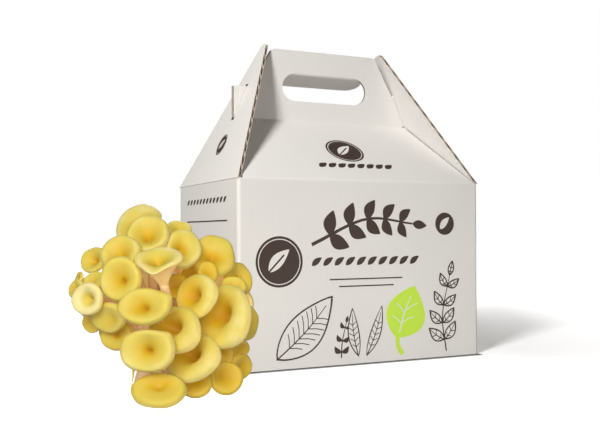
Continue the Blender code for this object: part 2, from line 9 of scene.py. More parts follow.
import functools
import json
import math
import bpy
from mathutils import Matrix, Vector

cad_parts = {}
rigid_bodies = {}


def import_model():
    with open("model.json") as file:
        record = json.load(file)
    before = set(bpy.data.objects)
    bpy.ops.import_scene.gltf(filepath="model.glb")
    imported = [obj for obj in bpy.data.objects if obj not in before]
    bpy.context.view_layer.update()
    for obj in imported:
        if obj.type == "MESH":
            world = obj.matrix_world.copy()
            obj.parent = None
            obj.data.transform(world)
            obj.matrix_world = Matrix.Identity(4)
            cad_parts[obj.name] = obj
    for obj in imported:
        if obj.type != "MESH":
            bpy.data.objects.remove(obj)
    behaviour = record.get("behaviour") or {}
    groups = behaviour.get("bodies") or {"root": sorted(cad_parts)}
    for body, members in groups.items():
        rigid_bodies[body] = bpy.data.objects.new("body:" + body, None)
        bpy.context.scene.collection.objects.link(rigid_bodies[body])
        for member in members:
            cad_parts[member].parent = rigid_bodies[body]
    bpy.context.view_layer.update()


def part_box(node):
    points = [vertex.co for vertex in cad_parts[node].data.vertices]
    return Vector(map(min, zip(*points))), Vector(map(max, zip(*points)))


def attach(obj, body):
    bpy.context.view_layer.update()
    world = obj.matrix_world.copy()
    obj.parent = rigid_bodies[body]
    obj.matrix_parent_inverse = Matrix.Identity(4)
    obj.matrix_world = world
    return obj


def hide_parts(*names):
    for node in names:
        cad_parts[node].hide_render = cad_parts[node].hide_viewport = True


bl_info = {
    "name": "Oyster mushroom grow kit",
    "version": (1, 0, 0),
    "blender": (4, 5, 0),
    "location": "View3D > Sidebar > Grow Kit",
    "description": "Builds the printed carton, its substrate bag and the mushroom cluster",
    "category": "Object",
}
from typing import NamedTuple

import bmesh
import bpy
import numpy as np
from bpy.props import FloatProperty, FloatVectorProperty, IntProperty, PointerProperty
from mathutils import Matrix, Vector
from mathutils.geometry import delaunay_2d_cdt

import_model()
MM = 0.001
UV_PER_METRE = 10                # the card's UV map is in tenths of a metre

# Carton, in millimetres, as in the solids
CARTON_W, CARTON_D, WALL_H = 240, 165, 160
BOARD = 2.8
GAP = 0.3
RIDGE_Z = 220.6
HANDLE_TOP_Z = 288
HANDLE_TOP_HALF = 55
HANDLE_CORNER = 2
HOOK_TOP_Z = 250.4
HOOK_HALF = 93.7
NECK_HALF = 75.6
HAND_HOLE_W, HAND_HOLE_H, HAND_HOLE_Z = 90, 26, 252.6
BACK_HOLE_EXTRA = 5
LID_FACE_Y = -(BOARD + GAP / 2)     # the front handle's outer side
FLAP_DROOP = math.radians(15)
END_LEAN = math.radians(23.6)
END_SLANT = 144
END_TIP_R = 11.5
SLOT_FROM, SLOT_TO, SLOT_HALF = 64, 101.5, 3.7

# Carton, finer than the solids
FOLD_R = 3.0                     # outside of a fold that shows its outer side
CREASE_R = 0.8                   # outside of a fold that closes on its outer side
LID_FOOT_Z = 157                 # where the lids' card takes over from the walls'
BEND_STEP = math.radians(7)
FLUTE_STEPS = 8                  # straight pieces in each wave of the fluted layer
FLUTE_PAPER = 0.24
FLAP_RISE = 1.1                  # how far the hand hole's flap rises before it folds back
FLAP_FOLD_R = BOARD + 0.1
FLAP_ROOM = 0.2                  # beside its fold
HOOK_FOOT = 0.6                  # from the ridge up to the hooks' lower edges, and down to the roof's
UNDERSIDE_FLAP_Z = 0.2
UNDERSIDE_ROOM, UNDERSIDE_HALF_GAP = 0.2, 0.4     # beside its two flaps, and between them
HINGE_BEAD_R = 0.45
CARD, BROWN_INK, GREEN_INK, LINER_EDGE, FLUTES, SHADED_INSIDE = range(6)     # material slots of card

# Cluster, as in the solids, in metres and parts of a cap's radius
CLUSTER_AT = np.array((-0.1966, -0.1353, 0.0))
CLUSTER_TURN = math.radians(-24.9)
TURN_COS, TURN_SIN = math.cos(CLUSTER_TURN), math.sin(CLUSTER_TURN)
CLUSTER_AXES = np.array(((TURN_COS, TURN_SIN, 0), (-TURN_SIN, TURN_COS, 0), (0, 0, 1)))
DIMPLE_RINGS = ((0.0, -1.0), (0.34, -0.5))
OUTER_RINGS = ((0.68, 0.10), (0.94, 0.01), (0.98, -0.26), (0.52, -0.50))
STEM_RING = (0.21, -0.92)
FLARE_POWER = 1.3
PULL_POWER = 1.5
RIM_SIDES = ((8, 10), (14.3, 12), (1000, 14))
STUMP_R, STUMP_H, STUMP_TOP_R = 0.021, 0.024, 0.015
STEM_FOOT_R, STEM_FOOT_Z = 0.012, 0.012
STEM_BASE_R = 0.0046
STEM_UPRIGHT, STEM_BEND, STEM_BEND_MOST = 0.55, 0.45, 0.030
STEM_LOWEST = 0.006
STEM_THINNEST = 0.0019

# Cluster, finer than the solids
CAP_DRAWS, STEM_DRAWS = 100, 500     # seeds of the random draws, to which a cap's number is added
WAVE_COUNTS = (2, 3, 5)              # slow waves once around a cap
OUTLINE_WAVES = (0.024, 0.022, 0.012)
RIM_WAVES = (0.045, 0.040, 0.022)
CROWN_TONE = 0.12                    # golden tone of a plain crown
# How golden a lip's hollow turns, partly painted shade
LIP_TONE = 0.7
LEAST_GILLS = 22
GILLS_COUNTED_AT = 0.75              # of a cap's radius
STEM_ROWS, STEM_SIDES, STEM_RIDGES = 34, 36, 12
STEM_IN_CAP = 0.0012                 # how far a stem's end goes into its cap
STUMP_ROWS, STUMP_SIDES = 26, 132

# Bag, finer than the solid
BAG_ROWS, BAG_SIDES = 90, 180
BAG_SQUARENESS, BAG_TOP_SQUARENESS = 0.28, 0.34     # powers of its sines and cosines

# The photograph's camera
CAMERA_AT = (-0.35365, -0.70734, 0.11455)
CAMERA_YAW, CAMERA_PITCH, CAMERA_ROLL = (math.radians(a) for a in (24.876, 0.697, -0.239))
CAMERA_LENS = 48.86

# Floor, in metres
FLOOR_Z, FLOOR_REACH = -0.0003, 6.0
GLOW_FROM, GLOW_REACH = 0.05, 0.5   # distances from the carton where the floor's glow rises
GLOW_MOST = 0.95
CONTACT_FROM, CONTACT_TO, CONTACT_LEFT = 0.003, 0.011, 0.1    # the painted contact shadow, a dark line at the carton's foot
CONTACT_SQUEEZE = (4, 1, 0)         # it is narrower beside the carton than before it

# Colours that stay as they are
BLACK, WHITE = (0, 0, 0), (1, 1, 1)
WARM = (1.0, 0.87, 0.62)
SURROUNDINGS = (1.0, 0.94, 0.85)
CUT_LINER = (0.55, 0.49, 0.43)
MARGIN_COLOUR = (0.90, 0.78, 0.38)
PAINTED_GLOW = (0.19, 0.16, 0.055)     # painted glow on the gills and the thin margin, which lightens their shade
# Painted shade in the grooves between the gills, as a part of the gills' colour
SHADE_BETWEEN_GILLS = (0.80, 0.68, 0.56)      # of the gills' colour
BROWNER_FIBRES = (0.90, 0.77, 0.62)     # of the stems' colour
DARK_STRAW, PALE_STRAW, WHITE_GROWTH = (0.30, 0.19, 0.09), (0.74, 0.58, 0.34), (0.84, 0.82, 0.76)


class Lamp(NamedTuple):
    """A round or oval studio light, in metres."""
    name: str
    place: tuple
    size: float
    power: str              # its setting
    lights: str = ""        # a set that it keeps to
    colour: tuple = WHITE
    target: tuple = (-0.05, -0.05, 0.12)
    height: float = 0.0     # of an oval one


# The left end panel's shadow on the roof points away from the carton key
LAMPS = (
    Lamp("carton key", (-0.94, -0.79, 0.862), 0.28, "key_watts", "Not the cluster"),
    Lamp("cluster key", (-0.9, -1.2, 0.72), 0.9, "cluster_watts", "Only the cluster"),
    Lamp("fill", (0.9, -1.2, 0.15), 0.8, "fill_watts"),
    Lamp("low fill", (0.0, -1.6, 0.12), 1.0, "low_fill_watts"),
    Lamp("cluster fill", (-0.45, -1.3, 0.2), 1.2, "cluster_fill_watts", "Only the cluster", WARM),
    Lamp("floor bounce", (0.0, -0.31, 0.02), 0.5, "bounce_watts", "Not the cluster",
         target=(0.0, -0.08, 0.03), height=0.08),
    Lamp("back fill", (0.9, 1.5, 0.9), 1.4, "back_watts", "Not the floor"),
)


class Cap(NamedTuple):
    """One mushroom cap."""
    name: str
    place: tuple        # right, away, up, mm, before it settled among the others
    radius: float       # mm
    facing: tuple       # right, away, up
    dimple: float       # depth, as a part of the radius
    pull: tuple         # the dimple's shift to the right and up, as parts of the radius
    oval: tuple = (1.0, 0.0)    # width over height, and its turn in degrees
    flare: float = 0.0          # how far its gills run down the stem, as a part of the radius
    hole: float = 0.0           # depth of the narrow hole in the dimple, as a part of the radius
    # The cap's own golden tint; on the two inner caps deep in the cluster it is painted shade, and on the top
    # back cap it is painted light
    shade: float = 0.0          # more golden above 0, paler below
    lip: tuple = (0.0, 0.0)     # direction in degrees of a rolled lip, and its strength
    thin: float = 0.0           # how thin the rim is where it has no rolled lip


CAPS = (
    Cap("cap_middle", (-3.5, -55, 67.5), 15.0, (-0.1, -0.95, 0.3), 0.34, (0.0, -0.1), (1.4, 0), hole=0.16,
        shade=0.04, lip=(30, 0.4)),
    Cap("cap_lower_middle", (-2, -55, 38.5), 16.6, (-0.1, -0.98, 0.1), 0.32, (0.05, -0.05), (1.2, 0),
        hole=0.22, lip=(250, 0.3)),
    Cap("cap_bottom_left", (5, -50, 10), 15.5, (0.0, -0.7, 0.65), 0.14, (0, 0.1), (1.4, 0), shade=0.1,
        lip=(270, 1)),
    Cap("cap_crescent_centre", (12, -40, 50), 19.1, (-0.45, -0.8, 0.4), 0.53, (0.1, 0.08), (1.32, 0),
        lip=(-20, 1), thin=0.9),
    Cap("cap_centre_funnel", (3, -38, 97.5), 14.5, (-0.1, -0.6, 0.8), 0.42, (-0.05, -0.1), (1.2, 0), 0.6,
        shade=-0.1, lip=(90, 0.4), thin=1),
    Cap("cap_lower_right", (24, -38, 30), 19.0, (-0.4, -0.75, 0.5), 0.6, (0.0, 0.1), (1.2, 0),
        lip=(-30, 1), thin=0.8),
    Cap("cap_left_centre", (-23.5, -36, 84), 15.0, (-0.1, -0.97, 0.12), 0.36, (0.1, -0.12), (0.92, 0),
        hole=0.22),
    Cap("cap_left_pale", (-47, -33, 70), 11.8, (-0.35, -0.93, 0.05), 0.32, (0.2, 0), (1.1, 0),
        hole=0.14, shade=-0.2),
    Cap("cap_left_low", (-34, -33, 56.5), 13.0, (-0.45, -0.85, -0.15), 0.08, (0.35, 0), (1.35, 0),
        shade=0.03, lip=(150, 0.4)),
    Cap("cap_right_centre", (25.5, -34, 71), 16.6, (-0.45, -0.8, 0.35), 0.58, (0.0, 0.05), (1.0, 0),
        lip=(5, 1), thin=0.9),
    Cap("cap_bottom_centre", (25.5, -32, 10), 11.5, (0.0, -0.8, 0.5), 0.1, (0, 0), (1.05, 0), shade=0.3),
    Cap("cap_right_large", (44, -27, 56.5), 22.5, (-0.5, -0.8, 0.35), 0.62, (0.02, 0.08), (0.9, 0),
        lip=(-12, 1), thin=0.8),
    Cap("cap_left_upper", (-27, -22, 101.5), 14.3, (-0.2, -0.85, 0.45), 0.36, (0.05, -0.12), (1.02, 0),
        hole=0.1),
    Cap("cap_under_left", (-30, -24, 44), 12.0, (-0.3, -0.85, 0.1), 0.1, (0, 0), (1.15, 0), shade=0.2,
        lip=(250, 1)),
    Cap("cap_low_left_small", (-49, -20, 51), 7.5, (-0.4, -0.85, -0.3), 0.1, (0, 0), (1.05, 0), shade=0.14),
    Cap("cap_left_small", (-45.5, -20, 82), 7.6, (-0.3, -0.8, 0.5), 0.12, (0, 0), (1.1, 0), shade=0.05),
    Cap("cap_bottom_right", (46, -24, 13), 12.2, (0.2, -0.85, 0.35), 0.13, (-0.2, 0.1), shade=0.26),
    Cap("cap_low_right_small", (43.5, -22, 28.5), 9.0, (0.2, -0.9, -0.05), 0.12, (0, 0), (0.7, 0),
        shade=0.3),
    Cap("cap_right_inner", (50, -18, 76.5), 9.2, (0.1, -0.75, 0.65), 0.2, (0, 0), (1.05, 0), shade=0.08),
    Cap("cap_far_left_low", (-56, -16, 58.5), 5.8, (-0.8, -0.5, -0.3), 0.15, (0, 0), (1.5, 0)),
    Cap("cap_right_thumb", (33, -14, 86.5), 8.4, (0.2, -0.8, 0.5), 0.08, (0, 0), (0.75, 0), shade=0.35),
    Cap("cap_far_left", (-60, -13, 76), 7.4, (-0.6, -0.7, 0.3), 0.2, (0, 0), (1.1, 0), hole=0.1),
    Cap("cap_top_front", (-10, -12, 114.5), 15.6, (0.0, -0.85, 0.5), 0.42, (0, -0.15), (0.95, 0), hole=0.12),
    Cap("cap_low_right_edge", (55.5, -10, 17), 10.1, (0.65, -0.7, -0.1), 0.12, (0, 0), shade=0.24),
    Cap("cap_left_top_small", (-49, -8, 96), 10.6, (-0.45, -0.8, 0.3), 0.36, (0.15, -0.1), (1.2, 0),
        hole=0.15),
    Cap("cap_right_folded", (53, -6, 80.5), 12.5, (0.55, -0.75, 0.35), 0.3, (0, 0), (0.9, 0), shade=0.18,
        lip=(60, 0.9)),
    Cap("cap_top_right", (15.5, -6, 104), 14.2, (0.3, -0.8, 0.4), 0.42, (-0.15, -0.1), (0.8, -15),
        shade=0.03, lip=(40, 0.8)),
    Cap("cap_right_edge_small", (54.5, -4, 29.5), 7.6, (0.6, -0.7, -0.2), 0.15, (0, 0), (1.3, 0), shade=0.22),
    Cap("cap_far_left_back", (-60.5, -4, 82), 5.8, (-0.8, -0.55, 0.25), 0.2, (0, 0), (1.2, 0), shade=0.1),
    Cap("cap_right_edge", (58.5, -2, 49), 14.0, (0.75, -0.6, 0.1), 0.14, (0, 0), shade=0.2),
    Cap("cap_right_top_large", (35, 2, 98.5), 16.4, (0.1, -0.85, 0.5), 0.34, (-0.1, -0.15), (0.92, 0),
        shade=0.11, lip=(60, 0.8)),
    Cap("cap_top_back", (-22, 4, 122), 18.0, (-0.25, -0.75, 0.6), 0.3, (0, 0), (0.95, 0),
        shade=-0.06, lip=(120, 0.9)),
    Cap("cap_top_right_back", (9.5, 12, 117.5), 10.0, (0.2, -0.6, 0.75), 0.25, (0, 0), (0.9, 0)),
    # Two caps deep in the cluster: their strong tint is painted shade
    Cap("cap_inner_centre", (10.5, -18, 77), 9.0, (0.15, -0.9, 0.3), 0.15, (0, 0), (0.9, 0), shade=0.5),
    Cap("cap_inner_right", (18.5, -10, 83), 9.0, (-0.2, -0.9, 0.2), 0.15, (0, 0), (0.8, 0), shade=0.5),
    Cap("cap_back_top", (6, 34, 106), 17.5, (0.1, 0.7, 0.7), 0.42, (0, -0.1), (1.15, 0), 0.3, hole=0.12),
    Cap("cap_back_upper_left", (-33, 24, 95), 16.5, (-0.5, 0.75, 0.45), 0.36, (0, -0.1), (0.95, 20), 0.4,
        lip=(200, 0.7)),
    Cap("cap_back_upper_right", (31, 34, 86), 16.0, (0.45, 0.8, 0.4), 0.5, (0.1, 0), (1.1, 0), 0.4,
        shade=0.06, lip=(150, 0.8)),
    Cap("cap_back_centre", (-6, 42, 80), 19.5, (-0.15, 0.97, 0.25), 0.55, (0, -0.1), (1.15, 0), 0.2,
        lip=(20, 0.9)),
    Cap("cap_back_left", (-47, 18, 66), 15.0, (-0.75, 0.65, 0.1), 0.36, (0, 0), (0.9, 0), 0.4, hole=0.15),
    Cap("cap_back_right", (44, 32, 60), 16.5, (0.6, 0.8, 0.15), 0.5, (0, 0), (1.0, 0), 0.4, lip=(300, 0.8)),
    Cap("cap_back_inner_left", (-28, 34, 53), 17.5, (-0.45, 0.9, 0.05), 0.4, (0, -0.1), (1.1, 0), 0.2,
        hole=0.12, shade=-0.05),
    Cap("cap_back_inner_right", (17, 42, 50), 18.5, (0.25, 0.95, 0.1), 0.58, (0.1, 0), (1.05, 0), 0.2,
        lip=(210, 1)),
    Cap("cap_back_side_left", (-42, 8, 42), 11.0, (-0.9, 0.3, -0.15), 0.2, (0, 0), (1.1, 0), 0.4, shade=0.1),
    Cap("cap_back_low_left", (-14, 34, 24), 16.0, (-0.5, 0.85, 0.15), 0.34, (0, 0), (1.15, 0), 0.2,
        shade=0.1, lip=(260, 0.8)),
    Cap("cap_back_low_centre", (13, 40, 17), 15.0, (0.1, 0.9, 0.35), 0.2, (0, 0.1), (1.3, 0), 0.1,
        shade=0.16, lip=(270, 1)),
    Cap("cap_back_low_right", (39, 24, 22), 14.5, (0.65, 0.75, 0.1), 0.4, (0, 0), (1.0, 0), 0.3,
        shade=0.12, lip=(300, 0.6)),
)

# A cap's fine profile, from its middle over the crown and the margin to the stem: distance
# from the axis; the parts of the dimple's depth on an even side and on a rolled lip; the part
# of the hole's depth; the height of the rest as a part of the radius; the golden tone; and how
# far it belongs to the gilled underside and to the thin margin
PROFILE = (
    (0.000, 1.00, 1.00, 1.00, 0.000, 0.82, 0, 0), (0.035, 0.98, 0.96, 0.90, 0.000, 0.82, 0, 0),
    (0.080, 0.93, 0.84, 0.55, 0.002, 0.80, 0, 0), (0.140, 0.83, 0.60, 0.20, 0.006, 0.76, 0, 0),
    (0.220, 0.68, 0.28, 0.05, 0.014, 0.68, 0, 0), (0.330, 0.48, 0.02, 0.00, 0.026, 0.55, 0, 0),
    (0.450, 0.30, -0.09, 0.00, 0.042, 0.41, 0, 0), (0.570, 0.16, -0.11, 0.00, 0.060, 0.29, 0, 0),
    (0.680, 0.07, -0.08, 0.00, 0.076, 0.20, 0, 0), (0.790, 0.02, -0.03, 0.00, 0.080, 0.15, 0, 0),
    (0.880, 0.00, 0.00, 0.00, 0.058, 0.13, 0, 0), (0.945, 0.00, 0.00, 0.00, -0.005, 0.12, 0, 0),
    (0.985, 0.00, 0.00, 0.00, -0.095, 0.11, 0, 0.15), (0.997, 0.00, 0.00, 0.00, -0.175, 0.08, 0, 0.4),
    (0.975, 0.00, 0.00, 0.00, -0.235, 0.05, 0.2, 0.9), (0.925, 0.00, 0.00, 0.00, -0.258, 0.02, 0.8, 0.7),
    (0.850, 0.00, 0.00, 0.00, -0.300, 0.02, 1, 0.1), (0.700, 0.00, 0.00, 0.00, -0.385, 0.02, 1, 0),
    (0.520, 0.00, 0.00, 0.00, -0.490, 0.02, 1, 0), (0.370, 0.00, 0.00, 0.00, -0.640, 0.02, 1, 0),
    (0.260, 0.00, 0.00, 0.00, -0.800, 0.02, 1, 0), (0.210, 0.00, 0.00, 0.00, -0.920, 0.02, 1, 0),
    (0.120, 0.00, 0.00, 0.00, -0.930, 0.02, 1, 0), (0.000, 0.00, 0.00, 0.00, -0.930, 0.02, 1, 0),
)

# Outline lobes of single caps: direction in degrees from the cap's right, half width in
# degrees, and height as a part of the radius
LOBES = {
    "cap_middle": ((28, 16, 0.10), (62, 16, -0.07), (205, 30, 0.03)),
    "cap_lower_middle": ((42, 13, 0.10), (86, 30, -0.13), (150, 16, 0.05), (330, 25, 0.04)),
    "cap_centre_funnel": ((165, 20, 0.16), (225, 24, -0.10), (270, 16, 0.12), (318, 24, -0.08),
                          (20, 22, 0.06)),
    "cap_left_low": ((20, 18, 0.10), (300, 25, -0.04)),
    "cap_right_top_large": ((40, 20, 0.05), (90, 20, 0.04), (330, 25, 0.06)),
    "cap_right_folded": ((60, 20, 0.08),),
    "cap_crescent_centre": ((330, 30, 0.04),),
    "cap_top_back": ((100, 18, 0.04), (150, 30, 0.03)),
}


class TornEdge(NamedTuple):
    """Gills torn along a line on a cap's underside; millimetres, right, away and up."""
    line: tuple
    fall: tuple         # the way it hangs
    depth: float
    spikes: tuple       # part of the way along, half width as a part of the line, further depth


TORN_EDGES = (
    TornEdge(((-11, -49, 29.5), (-5.4, -49, 27.6), (0.6, -49, 27), (5.8, -49, 27.6), (10.2, -49, 29.3)),
             (0.05, 0.1, -1), 5.0,
             ((0.10, 0.06, 1.2), (0.34, 0.05, 1.0), (0.6, 0.05, 0.8), (0.92, 0.05, 3.4))),
    TornEdge(((0.2, -52.5, 57), (6.5, -52, 60.2), (9.9, -51.5, 63.6), (10.7, -51.2, 67)),
             (0.8, 0.1, -0.6), 0.8,
             ((0.10, 0.07, 4.6), (0.24, 0.06, 4.8), (0.72, 0.06, 4.6), (0.88, 0.07, 5.6))),
)
TORN_ROWS, TORN_HALF_THICK = 72, 0.45

# A sliver of torn cap at the lower left: points on its line, in millimetres, its radii and tone
SLIVER = ((-10.4, -50, 28.5), (-11.4, -50, 24.0), (-11.9, -49, 20.0), (-13.1, -48, 14.6))
SLIVER_R, SLIVER_TIP_R, SLIVER_TONE = 1.15, 0.15, 0.45


def colour_setting(name, text, value):
    """A colour that the user may change."""
    return FloatVectorProperty(name=name, description=text, subtype="COLOR", default=value, min=0, max=1)


def power_setting(name, text, watts):
    """A light's power that the user may change."""
    return FloatProperty(name=name, description=text, default=watts, min=0, max=500, subtype="POWER",
                         unit="POWER")


class CartonLooks(bpy.types.PropertyGroup):
    """Sizes and colours of the carton."""
    flute_pitch: FloatProperty(name="Flute pitch", description="From one flute to the next, mm",
                               default=6.3, min=3.0, max=9.0)
    liner: FloatProperty(name="Liner", description="Thickness of each outer layer of the board, mm",
                         default=0.34, min=0.2, max=0.6)
    card_colour: colour_setting("Card", "The white liner", (0.70, 0.675, 0.645))
    brown_ink: colour_setting("Brown ink", "The dark print", (0.034, 0.017, 0.012))
    green_ink: colour_setting("Green ink", "The bright print", (0.50, 0.72, 0.05))
    kraft_colour: colour_setting("Kraft", "The fluted layer", (0.36, 0.28, 0.21))


class ClusterLooks(bpy.types.PropertyGroup):
    """Sizes and colours of the mushroom cluster."""
    gill_pitch: FloatProperty(name="Gill pitch", description="From one gill to the next at three "
                              "quarters of the radius", default=0.00135, min=0.0008, max=0.004,
                              subtype="DISTANCE", unit="LENGTH")
    gill_depth: FloatProperty(name="Gill depth", description="Depth between the gills, as a part of "
                              "the cap's radius", default=0.055, min=0.0, max=0.12)
    rows: IntProperty(name="Rows", description="Points from a cap's hole to its stem", default=56,
                      min=24, max=120)
    pale_colour: colour_setting("Pale rim", "The cap's palest parts", (0.74, 0.67, 0.34))
    crown_colour: colour_setting("Crown", "The cap's pale crown", (0.61, 0.53, 0.115))
    gold_colour: colour_setting("Gold", "The cap's middle", (0.585, 0.395, 0.02))
    # The colour of the dimple's bottom, partly the cap's own and partly painted shade
    depth_colour: colour_setting("Depth", "The bottom of the dimple", (0.50, 0.27, 0.018))
    gill_colour: colour_setting("Gills", "The underside", (0.98, 0.73, 0.50))
    stem_colour: colour_setting("Stems", "The stems' flesh", (0.98, 0.75, 0.52))


class StageLooks(bpy.types.PropertyGroup):
    """The floor and the studio's light."""
    floor_colour: colour_setting("Floor", "The pale floor", (0.95, 0.95, 0.95))
    floor_glow: FloatProperty(name="Floor glow", description="Light that the floor gives off by the "
                              "carton, so that it reads as white", default=0.26, min=0, max=1)
    surroundings: FloatProperty(name="Surroundings", description="Strength of the light from all sides",
                                default=0.17, min=0, max=2)
    key_watts: power_setting("Key light", "Power of the large light at the left", 22)
    cluster_watts: power_setting("Cluster's key light", "Power of the cluster's own softer light", 12.6)
    fill_watts: power_setting("Fill light", "Power of the light at the right", 0.6)
    low_fill_watts: power_setting("Low fill", "Power of the light low in front", 0.5)
    cluster_fill_watts: power_setting("Cluster's fill light", "Power of the light that opens the "
                                      "cluster's shadows", 14.5)
    bounce_watts: power_setting("Floor bounce", "Power of the light that rises from the floor before "
                                "the carton", 0.27)
    back_watts: power_setting("Back fill", "Power of the soft light from behind", 24)


class KitLooks(bpy.types.PropertyGroup):
    """All the settings of the grow kit."""
    carton: PointerProperty(type=CartonLooks)
    cluster: PointerProperty(type=ClusterLooks)
    stage: PointerProperty(type=StageLooks)


# Meshes

def circle_angles(count):
    """Directions once around, evenly spaced, in radians."""
    return np.linspace(0, 2 * np.pi, count, endpoint=False)


def mirrored(right):
    """An outline whose left half mirrors its right half's points across X = 0."""
    return np.vstack((right, (right * (-1, 1))[::-1]))


def closed_grid(rows, columns, flipped=False):
    """Quads between a grid's points, row by row, with the last column joined to the first, and
    their UV corners: u goes around once, and v from the first row to the last."""
    i = np.arange(rows - 1)[:, None] * columns
    j = np.arange(columns)[None]
    k = (j + 1) % columns
    quads = np.stack((i + j, i + k, i + columns + k, i + columns + j), -1).reshape(-1, 4)
    v, u = np.meshgrid(np.arange(rows - 1) / (rows - 1), np.arange(columns) / columns, indexing="ij")
    du, dv = 1 / columns, 1 / (rows - 1)
    corners = np.stack([np.stack(corner, -1) for corner in (
        (u, v), (u + du, v), (u + du, v + dv), (u, v + dv))], 2).reshape(-1, 4, 2)
    return (quads[:, ::-1], corners[:, ::-1]) if flipped else (quads, corners)


def joined(parts):
    """One set of points, faces and further values of the faces from several."""
    points, faces, *values = zip(*parts)
    starts = np.cumsum([0] + [len(p) for p in points[:-1]])
    faces = [f + start for f, start in zip(faces, starts)]
    return [np.concatenate(column) for column in (points, faces, *values)]


def new_piece(name, points, faces, materials, corners=None, face_slots=None, point_values=None,
              smooth=True):
    """Link an object whose mesh has these points and faces, with UV corners, material slots
    for its faces and named values for its points."""
    mesh = bpy.data.meshes.new(name)
    mesh.from_pydata(np.asarray(points, float).tolist(), [], np.asarray(faces).tolist())
    for material in materials:
        mesh.materials.append(material)
    if corners is not None:
        mesh.uv_layers.new(name="UVMap").data.foreach_set("uv", np.asarray(corners, np.float32).ravel())
    if face_slots is not None:
        mesh.polygons.foreach_set("material_index", np.asarray(face_slots, np.int32))
    for key, values in (point_values or {}).items():
        mesh.attributes.new(key, "FLOAT", "POINT").data.foreach_set(
            "value", np.asarray(values, np.float32).ravel())
    mesh.polygons.foreach_set("use_smooth", np.full(len(faces), smooth))
    mesh.update()
    obj = bpy.data.objects.new(name, mesh)
    bpy.context.scene.collection.objects.link(obj)
    return obj


def merge_close(obj, distance=1e-7):
    """Merge an object's points that lie closer than a distance, as at a pole or a seam."""
    bm = bmesh.new()
    bm.from_mesh(obj.data)
    bmesh.ops.remove_doubles(bm, verts=bm.verts, dist=distance)
    bm.to_mesh(obj.data)
    bm.free()


def belongs(obj, body, slot, *nodes):
    """An object rides on a body and stands for CAD nodes, which it hides; its slot is not used."""
    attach(obj, body)
    if nodes:
        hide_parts(*nodes)


def smooth_line(knots, count):
    """Points on a smooth line through knots, evenly by knot number: between two knots it is a
    cubic whose slope at each knot is half the step between the knot's neighbours."""
    knots = np.asarray(knots, float)
    padded = np.vstack((2 * knots[0] - knots[1], knots, 2 * knots[-1] - knots[-2]))
    t = np.linspace(0, len(knots) - 1, count)
    i = np.minimum(t.astype(int), len(knots) - 2)
    f = (t - i)[:, None]
    a, b, c, d = (padded[i + k] for k in range(4))
    return 0.5 * (2 * b + (c - a) * f + (2 * a - 5 * b + 4 * c - d) * f ** 2
                  + (3 * b - a - 3 * c + d) * f ** 3)


# Materials

def give(tree, sockets, values):
    """Give sockets their values or links, by number or by name, with _ for a space."""
    for key, value in values.items():
        socket = sockets[key.replace("_", " ") if isinstance(key, str) else key]
        if isinstance(value, bpy.types.NodeSocket):
            tree.links.new(value, socket)
        else:
            socket.default_value = value


def add_node(tree, kind, inputs=None, **settings):
    """Add a node with settings and with values or links for its inputs."""
    node = tree.nodes.new(kind)
    for key, value in settings.items():
        setattr(node, key, value)
    give(tree, node.inputs, inputs or {})
    return node


def number(tree, operation, *values):
    """A Math node's result."""
    return add_node(tree, "ShaderNodeMath", dict(enumerate(values)), operation=operation).outputs[0]


def vector(tree, operation, *values):
    """A Vector Math node's result, which is a number for a length."""
    outputs = add_node(tree, "ShaderNodeVectorMath", dict(enumerate(values)), operation=operation).outputs
    return outputs["Value" if operation == "LENGTH" else "Vector"]


def noise(tree, where, scale, detail, roughness=0.5):
    """A noise texture's value."""
    return add_node(tree, "ShaderNodeTexNoise", {"Vector": where, "Scale": scale, "Detail": detail,
                                                 "Roughness": roughness}).outputs[0]


def blend_colours(tree, factor, *colours):
    """Mix two colours by a factor."""
    first, second = (c if isinstance(c, bpy.types.NodeSocket) else (*c[:3], 1) for c in colours)
    return add_node(tree, "ShaderNodeMix", {0: factor, 6: first, 7: second}, data_type="RGBA").outputs[2]


def coordinates(tree, key):
    """The piece's own coordinates: Object or UV."""
    return add_node(tree, "ShaderNodeTexCoord").outputs[key]


def relief(tree, height, strength, distance):
    """The normal of a surface with this height."""
    return add_node(tree, "ShaderNodeBump", {"Strength": strength, "Distance": distance,
                                             "Height": height}).outputs[0]


def scaled(colour, factors):
    """A colour times a number, or times one for each of its channels, at most 1."""
    return [min(1, c * f) for c, f in zip(colour, np.broadcast_to(factors, 3).tolist())]


def new_group(name, outputs, **inputs):
    """A shader node group of a Vector and of numbers with their defaults, which puts out
    numbers: its tree, what it is given and what it puts out."""
    group = bpy.data.node_groups.new(name, "ShaderNodeTree")
    group.interface.new_socket("Vector", in_out="INPUT", socket_type="NodeSocketVector")
    for key, value in inputs.items():
        socket = group.interface.new_socket(key.replace("_", " "), in_out="INPUT",
                                            socket_type="NodeSocketFloat")
        socket.default_value = value
    for key in outputs:
        group.interface.new_socket(key, in_out="OUTPUT", socket_type="NodeSocketFloat")
    return group, group.nodes.new("NodeGroupInput").outputs, group.nodes.new("NodeGroupOutput").inputs


def mottle_group():
    """Broad and fine unevenness from two noises: Broad, Fine (both 0 to 1) and a Height."""
    group, given, result = new_group("Mottle", ("Broad", "Fine", "Height"), Broad_Scale=20.0,
                                     Fine_Scale=600.0)
    broad = noise(group, given["Vector"], given["Broad Scale"], 3.0, 0.55)
    fine = noise(group, given["Vector"], given["Fine Scale"], 4.0, 0.65)
    height = number(group, "ADD", broad, number(group, "MULTIPLY", fine, 0.35))
    give(group, result, {"Broad": broad, "Fine": fine, "Height": height})
    return group


